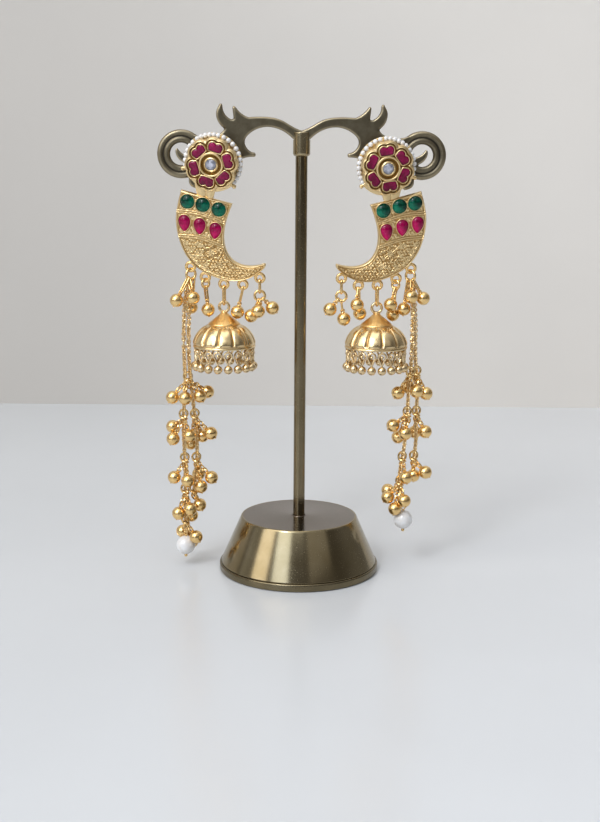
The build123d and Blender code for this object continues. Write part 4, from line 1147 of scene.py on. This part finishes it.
def drop():
    """A drop of the fringe, facing +X, with the rim's underside at the origin."""
    shell = Shell()
    turn = np.linspace(radians(-38), radians(218), 20)
    round_part = [(0, LOOP_HALF * cos(a), LOOP_MIDDLE + LOOP_HALF * sin(a)) for a in turn]
    sides = [(0, share * LOOP_HALF * 0.72, LOOP_POINT + (LOOP_MIDDLE - 0.9 - LOOP_POINT) * share)
             for share in (0.15, 0.5, 0.8)]
    shell.tube([(0, 0, LOOP_POINT)] + sides + round_part + [(x, -y, z) for x, y, z in sides[::-1]], DROP_WIRE)
    shell.torus((0, 0, -0.35), (0, 1, 0), 0.42, 0.2, 14, 8)
    shell.ball((0, 0, GRANULE_Z), GRANULE_R, 14, 8)
    shell.turned(DROP_NECK, 14)
    shell.ball((0, 0, DROP_BALL_Z), DROP_BALL_R, 20, 12)
    shell.turned(DROP_NIB, 10)
    return shell.mesh("drop", [fringe_gold], TO_MM)


def circle_tree(name, shape, material):
    """Copies of a shape on a circle, each turned to face outwards."""
    tree, given = start_tree(name, Count=DROPS, Radius=DROP_RUN_R)
    angle = (tree.node("GeometryNodeInputIndex") + 0.5) / given.out("Count") * (2 * pi)
    place = tree.node("ShaderNodeCombineXYZ", {}, {"X": angle.math("COSINE") * given.out("Radius"),
                                                   "Y": angle.math("SINE") * given.out("Radius")})
    points = tree.node("GeometryNodePoints", {}, {"Count": given.out("Count"), "Position": place})
    return end_with_copies(tree, shape, material, points, turn_about_z(tree, angle))


drop_template = in_scene("drop_template", drop())
fringe = circle_tree("fringe", drop_template, fringe_gold)
for side in SIDES:
    made = run_tree(f"fringe_{side}", bpy.data.meshes.new("start"), fringe, Count=DROPS, Radius=DROP_RUN_R)
    made.transform(seat(side))
    add_piece(f"fringe_{side}", made, f"bell_{side}", "polished_gold", f"bell_fringe_{side}")
bpy.data.objects.remove(drop_template)

# %% [markdown]
# ## Ball beads
#
# The beads are hollow balls of two halves, with a soldered eye on top, and a nib below where the halves were
# closed. Where each one hangs, and which way its eye points, is measured on the carried-over beads: the lowest
# part of each is plain ball, so a ball is fitted there, and what lies outside that ball is its eye.

# %% Where the beads hang
BEAD_R, EYE_REACH = 2.3, 1.15
BALL_PART, OUT_OF_BALL, RING_HEIGHT = 1.6, 0.25, 1.0


def merged(name):
    """A copy of a node's mesh, open for edits, with its loose triangles joined."""
    edit = bmesh.new()
    edit.from_mesh(frame["nodes"][name].data)
    bmesh.ops.remove_doubles(edit, verts=edit.verts, dist=1e-7)
    return edit


def islands(name):
    """The closed surfaces of a node, each as an array of points in millimetres."""
    edit, made = merged(name), []
    left = dict.fromkeys(edit.verts)
    while left:
        reached, found = [left.popitem()[0]], []
        for vertex in reached:
            found.append(tuple(vertex.co / MM))
            near = dict.fromkeys(other for edge in vertex.link_edges for other in edge.verts if other in left)
            for other in near:
                del left[other]
            reached += near
        made.append(np.array(found))
    edit.free()
    return made


def bead_places(name):
    """Each bead's centre, the way to its eye and the eye's flat side; and the middles of loose rings."""
    beads, rings = [], []
    for points in islands(name):
        if np.ptp(points[:, 2]) < RING_HEIGHT:
            rings.append((points.max(0) + points.min(0)) / 2)
            continue
        centre, radius = fit_round(points[points[:, 2] < points[:, 2].min() + BALL_PART])
        away = points - centre
        eye = away[np.linalg.norm(away, axis=1) > radius + OUT_OF_BALL]
        way, flat = eye.mean(0), np.linalg.svd(eye - eye.mean(0), full_matrices=False)[2][2]
        beads.append((centre, way / np.linalg.norm(way), flat))
    return beads, rings


hanging = {name: bead_places(name) for name in frame["nodes"] if "bead" in name}
print("beads found:", sum(len(beads) for beads, rings in hanging.values()))

# %% The bead
BEAD_COLLAR = ((0.1, 2.0), (0.62, 2.1), (0.72, 2.28), (0.6, 2.46), (0.2, 2.5))
BEAD_NIB = ((0.08, -2.54), (0.22, -2.5), (0.3, -2.38), (0.28, -2.2), (0.1, -2.1))
BEAD_SEAM = ((BEAD_R - 0.05, -0.09), (BEAD_R + 0.035, -0.05), (BEAD_R + 0.035, 0.05), (BEAD_R - 0.05, 0.09))


def ball_bead():
    """A bead at the origin whose eye is on top and flat in X."""
    shell = Shell()
    shell.ball((0, 0, 0), BEAD_R, 32, 18)
    shell.turned(BEAD_COLLAR, 18)
    shell.turned(BEAD_NIB, 14)
    shell.turned(BEAD_SEAM, 32, loop=True)
    shell.torus((0, 0, BEAD_R + 0.58), (1, 0, 0), 0.6, 0.22, 18, 8)
    return shell.mesh("ball_bead", [bead_gold])


def smooth_piece(name, mesh, *nodes):
    """A smooth gold piece that hangs still."""
    mesh.shade_smooth()
    add_piece(name, mesh, "stand", "gold", *nodes)


bead_template = in_scene("bead_template", ball_bead())
bead_tree = aimed_tree("bead_copies", bead_template, bead_gold)
for side in SIDES:
    for group, kind in (("top_bead", "top_beads"), ("bead_cluster", "cluster_beads")):
        names = [name for name in hanging if name.startswith(f"{group}_{side}")]
        places, ways, flats = zip(*[bead for name in names for bead in hanging[name][0]])
        made = run_tree(f"{kind}_{side}", mesh_of_points("beads", places, aim=ways, flat=flats), bead_tree, Size=1.0)
        smooth_piece(f"{kind}_{side}", made, *names)
bpy.data.objects.remove(bead_template)

# %% [markdown]
# ## Chains and strings of jump rings
#
# Each tassel has two fine curb chains. A chain follows a line that goes through a few points, so a tree makes
# the line a curve, cuts it into equal steps, and puts a link at each step, turned by a quarter from the one
# before. The beads of a cluster hang on short strings of jump rings, which the same tree makes with a rounder
# link and a longer step.

# %% The chains' routes
CHAINS = {
    "left": (
        ((-38.3, 2.6, 99.6), (-39.0, 1.4, 94.5), (-39.5, 1.0, 88.0), (-39.7, 1.0, 77.0), (-39.4, 1.0, 65.0),
         (-40.0, 1.0, 54.0), (-39.9, 1.0, 43.0), (-39.6, 1.0, 32.0), (-39.7, 1.0, 22.0), (-39.6, 1.0, 12.6)),
        ((-37.1, 2.0, 99.7), (-37.6, 2.5, 95.0), (-38.0, 2.0, 87.0), (-38.1, 1.8, 76.0), (-37.3, 1.8, 64.0),
         (-36.2, 1.8, 53.0), (-35.5, 1.8, 41.0), (-36.4, 1.8, 30.0), (-36.8, 1.8, 26.0))),
    "right": (
        ((-37.0, 2.1, 99.7), (-37.9, 1.0, 94.0), (-38.2, 1.0, 86.0), (-38.1, 1.0, 74.0), (-37.4, 1.0, 63.0),
         (-37.0, 1.0, 53.0), (-36.1, 1.0, 42.0), (-34.9, 1.0, 32.0), (-35.4, 1.0, 26.0), (-36.3, 1.0, 22.6)),
        ((-38.3, 3.1, 99.6), (-38.7, 2.7, 94.0), (-39.3, 2.4, 85.0), (-39.5, 2.4, 75.0), (-40.5, 2.4, 64.0),
         (-40.3, 2.4, 54.0), (-40.4, 2.4, 45.0), (-39.7, 2.4, 38.0)))}
OUTWARD = {"left": 1, "right": -1}
CURB_STEP, RING_STEP, QUARTER = 0.00088, 0.00118, 90.0    # steps in metres


def strings(names):
    """From each cluster bead's eye to the middle of the nearest ring round a chain."""
    made = []
    for beads, rings in [hanging[name] for name in names]:
        for centre, way, flat in beads:
            ring = min(rings, key=lambda place: np.linalg.norm(np.cross(place - centre, way)))
            made.append(np.linspace(centre + way * (BEAD_R + EYE_REACH), ring, 6))
    return made


# %% The chain tree
def link(name, half_length, half_width, wire, around, finish):
    """An oval link that is flat in X, with its length along Z."""
    shell = Shell()
    shell.tube(at_depth(circle(around) * (half_width, half_length), 0)[:, [1, 0, 2]], wire, 6)
    return in_scene(name, shell.mesh(name, [finish]))


def chain_tree(name, shape, material):
    """Copies of a link along the start mesh's lines, each turned from the one before."""
    tree, given = start_tree(name, Step=CURB_STEP, Turn=QUARTER)
    curve = tree.node("GeometryNodeMeshToCurve", {}, {"Mesh": given.out("Geometry")})
    steps = tree.node("GeometryNodeResampleCurve", {"mode": "LENGTH"}, {"Curve": curve, "Length": given.out("Step")})
    turn = tree.node("FunctionNodeAlignRotationToVector", {"axis": "Z"},
                     {"Vector": tree.node("GeometryNodeInputTangent")})
    spin = tree.node("GeometryNodeInputIndex").math("MODULO", 2.0) * given.out("Turn") * (pi / 180) + pi / 4
    turn = tree.node("FunctionNodeRotateRotation", {"rotation_space": "LOCAL"},
                     {"Rotation": turn, "Rotate By": turn_about_z(tree, spin)})
    return end_with_copies(tree, shape, material, steps, turn)


def chained(name, lines, group, step):
    """The mesh of links along several open lines of points."""
    edges, first = [], 0
    for line in lines:
        edges += [(k, k + 1) for k in range(first, first + len(line) - 1)]
        first += len(line)
    return run_tree(name, mesh_of_points("lines", np.concatenate(lines), edges), group, Step=step, Turn=QUARTER)


# %% Chains
# Each hoop: its place from the ring's middle, the way it faces, its radius, its wire and its points around.
HOOPS = (((0, 0, 0), (0.25, 0.1, 1), 1.2, 0.35, 24), ((0, -0.3, 1.55), (0.35, -0.9, 0.1), 1.42, 0.40, 26),
         ((0.1, -0.2, -1.5), (0.6, 0.7, 0.2), 1.15, 0.33, 24))
curb = link("curb_link", 0.74, 0.64, 0.24, 12, chain_gold)
jump = link("jump_link", 0.88, 0.78, 0.27, 16, bead_gold)
curb_tree, jump_tree = chain_tree("curb_chain", curb, chain_gold), chain_tree("jump_rings", jump, bead_gold)
for side in SIDES:
    for number, route in enumerate(CHAINS[side], 1):
        line = smooth_curve(route, 140) * (OUTWARD[side], 1, 1)
        made = chained(f"curb_chain_{side}_{number}", [line], curb_tree, CURB_STEP)
        smooth_piece(f"curb_chain_{side}_{number}", made, f"chain_{side}_{number}")
    clusters = [name for name in hanging if name.startswith(f"bead_cluster_{side}")]
    smooth_piece(f"jump_rings_{side}", chained("strings", strings(clusters), jump_tree, RING_STEP), *clusters)
    hoops = Shell()
    for place in [ring for name in clusters for ring in hanging[name][1]]:
        for off, way, radius, wire, around in HOOPS:
            hoops.torus(place + off, way, radius, wire, around, 8)
    add_piece(f"cluster_rings_{side}", hoops.mesh(f"cluster_rings_{side}", [bead_gold]), "stand", "gold", *clusters)
bpy.data.objects.remove(curb)
bpy.data.objects.remove(jump)

# %% [markdown]
# ## The stand
#
# The crossbar is a casting, so none of its edges is sharp. A voxel remesh of a copy of the carried-over shape
# gives it one even skin, smoothing rounds its edges, and each point's height above its neighbours says how
# much it is rubbed, while its depth below them sets its painted shade and dirt. The base and the pole are
# turned, so they are profiles spun round the stand's axis. The collar, the ear nuts and the pearls' pins keep
# their shape and only get a finish.

# %% Crossbar
VOXEL, SMOOTHING = 0.00022, 14
WEAR_REACH, WEAR_HEIGHT = 9, 0.00011
WIRE_FULLER, PEARL_FULLER = 0.00016, 0.0002


def merged_copy(name):
    """A copy of a node's mesh with its loose triangles joined."""
    edit, copy = merged(name), bpy.data.meshes.new(name + "_copy")
    edit.to_mesh(copy)
    edit.free()
    return copy


def remeshed(mesh):
    """The mesh with one even skin, and smoothed."""
    carrier = in_scene("carrier", mesh)
    skin = carrier.modifiers.new("skin", "REMESH")
    skin.mode, skin.voxel_size = "VOXEL", VOXEL
    ease = carrier.modifiers.new("ease", "SMOOTH")
    ease.factor, ease.iterations = 0.5, SMOOTHING
    return evaluated(carrier)


def fuller(name, by, finish):
    """A copy of a node with each point moved outwards, as plating makes a wire thicker."""
    mesh = merged_copy(name)
    normals = [Vector(normal.vector) for normal in mesh.vertex_normals]
    for vertex, normal in zip(mesh.vertices, normals):
        vertex.co += normal * by
    set_finish(mesh, finish)
    mesh.shade_smooth()
    return mesh


def read(items, field, width, kind=float):
    """One field of all of a mesh's items, as rows of numbers."""
    numbers = np.empty(len(items) * width, kind)
    items.foreach_get(field, numbers)
    return numbers.reshape(-1, width)


def store_wear(mesh):
    """Stores how far each point stands out from the points around it as "worn", and how far it lies below them as
    painted shade and dirt.
    """
    places, normals = read(mesh.vertices, "co", 3), read(mesh.vertices, "normal", 3)
    edges, count = read(mesh.edges, "vertices", 2, int), len(mesh.vertices)
    near = np.bincount(edges.ravel(), minlength=count)[:, None]
    spread = places
    for _ in range(WEAR_REACH):
        spread = np.stack([np.bincount(edges.T.ravel(), spread[edges[:, ::-1].T.ravel(), k], count)
                           for k in range(3)], axis=1) / near
    above = ((places - spread) * normals).sum(1) / WEAR_HEIGHT
    for name, number in (("worn", above), ("hollow", -above)):
        mesh.attributes.new(name, "FLOAT", "POINT").data.foreach_set("value", np.clip(number, 0, 1))
    print("worn points:", int((above > 0.5).sum()), "hollow points:", int((above < -0.5).sum()), "of", count)


crossbar = remeshed(merged_copy("stand_crossbar"))
store_wear(crossbar)
set_finish(crossbar, stand_brass)
crossbar.shade_smooth()
add_piece("crossbar", crossbar, "stand", "stand_brass", "stand_crossbar")

# %% Base and pole
AROUND_BASE, AROUND_POLE = 256, 96
POLE_R, POLE_TOP = 2.0, 146.2
FOOT = ((2.3, 0.3), (24.5, 0.3), (25.0, 0.0), (27.2, 0.0), (27.66, 0.35), (27.68, 2.25), (27.5, 2.62), (27.1, 2.72),
        (26.9, 2.6), (2.3, 2.6))
BODY = ((2.25, 2.62), (26.85, 2.62), (27.05, 2.95), (20.25, 18.55), (19.95, 18.97), (19.6, 19.0), (19.45, 18.96),
        (2.25, 18.96))
DISC = ((2.2, 18.9), (19.42, 18.9), (19.44, 18.965), (19.3, 18.985), (2.75, 18.985), (2.7, 19.1), (2.5, 19.16),
        (2.3, 19.1), (2.2, 19.0))
POLE = ((0.05, 7.05), (POLE_R - 0.2, 7.05), (POLE_R, 7.25), (POLE_R, POLE_TOP - 0.2), (POLE_R - 0.2, POLE_TOP),
        (0.05, POLE_TOP))


def rounded(corners, radius, count=5):
    """A profile with its inner corners rounded."""
    corners = np.asarray(corners, float)
    made = [corners[0]]
    share = np.linspace(0, 1, count)[:, None]
    for before, corner, after in zip(corners, corners[1:], corners[2:]):
        lengths = [np.linalg.norm(end - corner) for end in (before, after)]
        reach = min(radius, 0.45 * min(lengths))
        start, end = [corner + (end - corner) / length * reach for end, length in zip((before, after), lengths)]
        made += list(start * (1 - share) ** 2 + corner * 2 * share * (1 - share) + end * share ** 2)
    return np.array(made + [corners[-1]])


for name, profile, around, loop, finish, slot, node in (
        ("base_foot", rounded(FOOT, 0.35), AROUND_BASE, True, foot_brass, "stand_base_brass", "stand_base"),
        ("base_body", rounded(BODY, 0.22), AROUND_BASE, True, base_brass, "stand_base_brass", "stand_base"),
        ("base_disc", rounded(DISC, 0.06, 4), AROUND_BASE, True, disc_brass_painted_reflection, "stand_base_brass", "stand_base"),
        ("pole", rounded(POLE, 0.2), AROUND_POLE, False, pole_brass, "stand_brass", "stand_pole")):
    shell = Shell()
    shell.turned(profile, around, loop=loop)
    add_piece(name, shell.mesh(name, [finish], sharp=60), "stand", slot, node)

# %% Plated wires, end pearls, and the finishes of the nodes that stay
for side in SIDES:
    for name, node, by, finish, ride, slot in (
            ("plated_links", "links", WIRE_FULLER, bead_gold, "stand", "gold"),
            ("plated_bell_link", "bell_link", WIRE_FULLER, bead_gold, f"bell_{side}", "gold"),
            ("end_pearl", "pearl", PEARL_FULLER, pearl_white, "stand", "pearl")):
        add_piece(f"{name}_{side}", fuller(f"{node}_{side}", by, finish), ride, slot, f"{node}_{side}")
for name, finish in (("stand_collar", collar_brass), ("ear_nut_left", satin_gold), ("ear_nut_right", satin_gold),
                     ("pearl_pin_left", bead_gold), ("pearl_pin_right", bead_gold)):
    set_finish(frame["nodes"][name].data, finish)
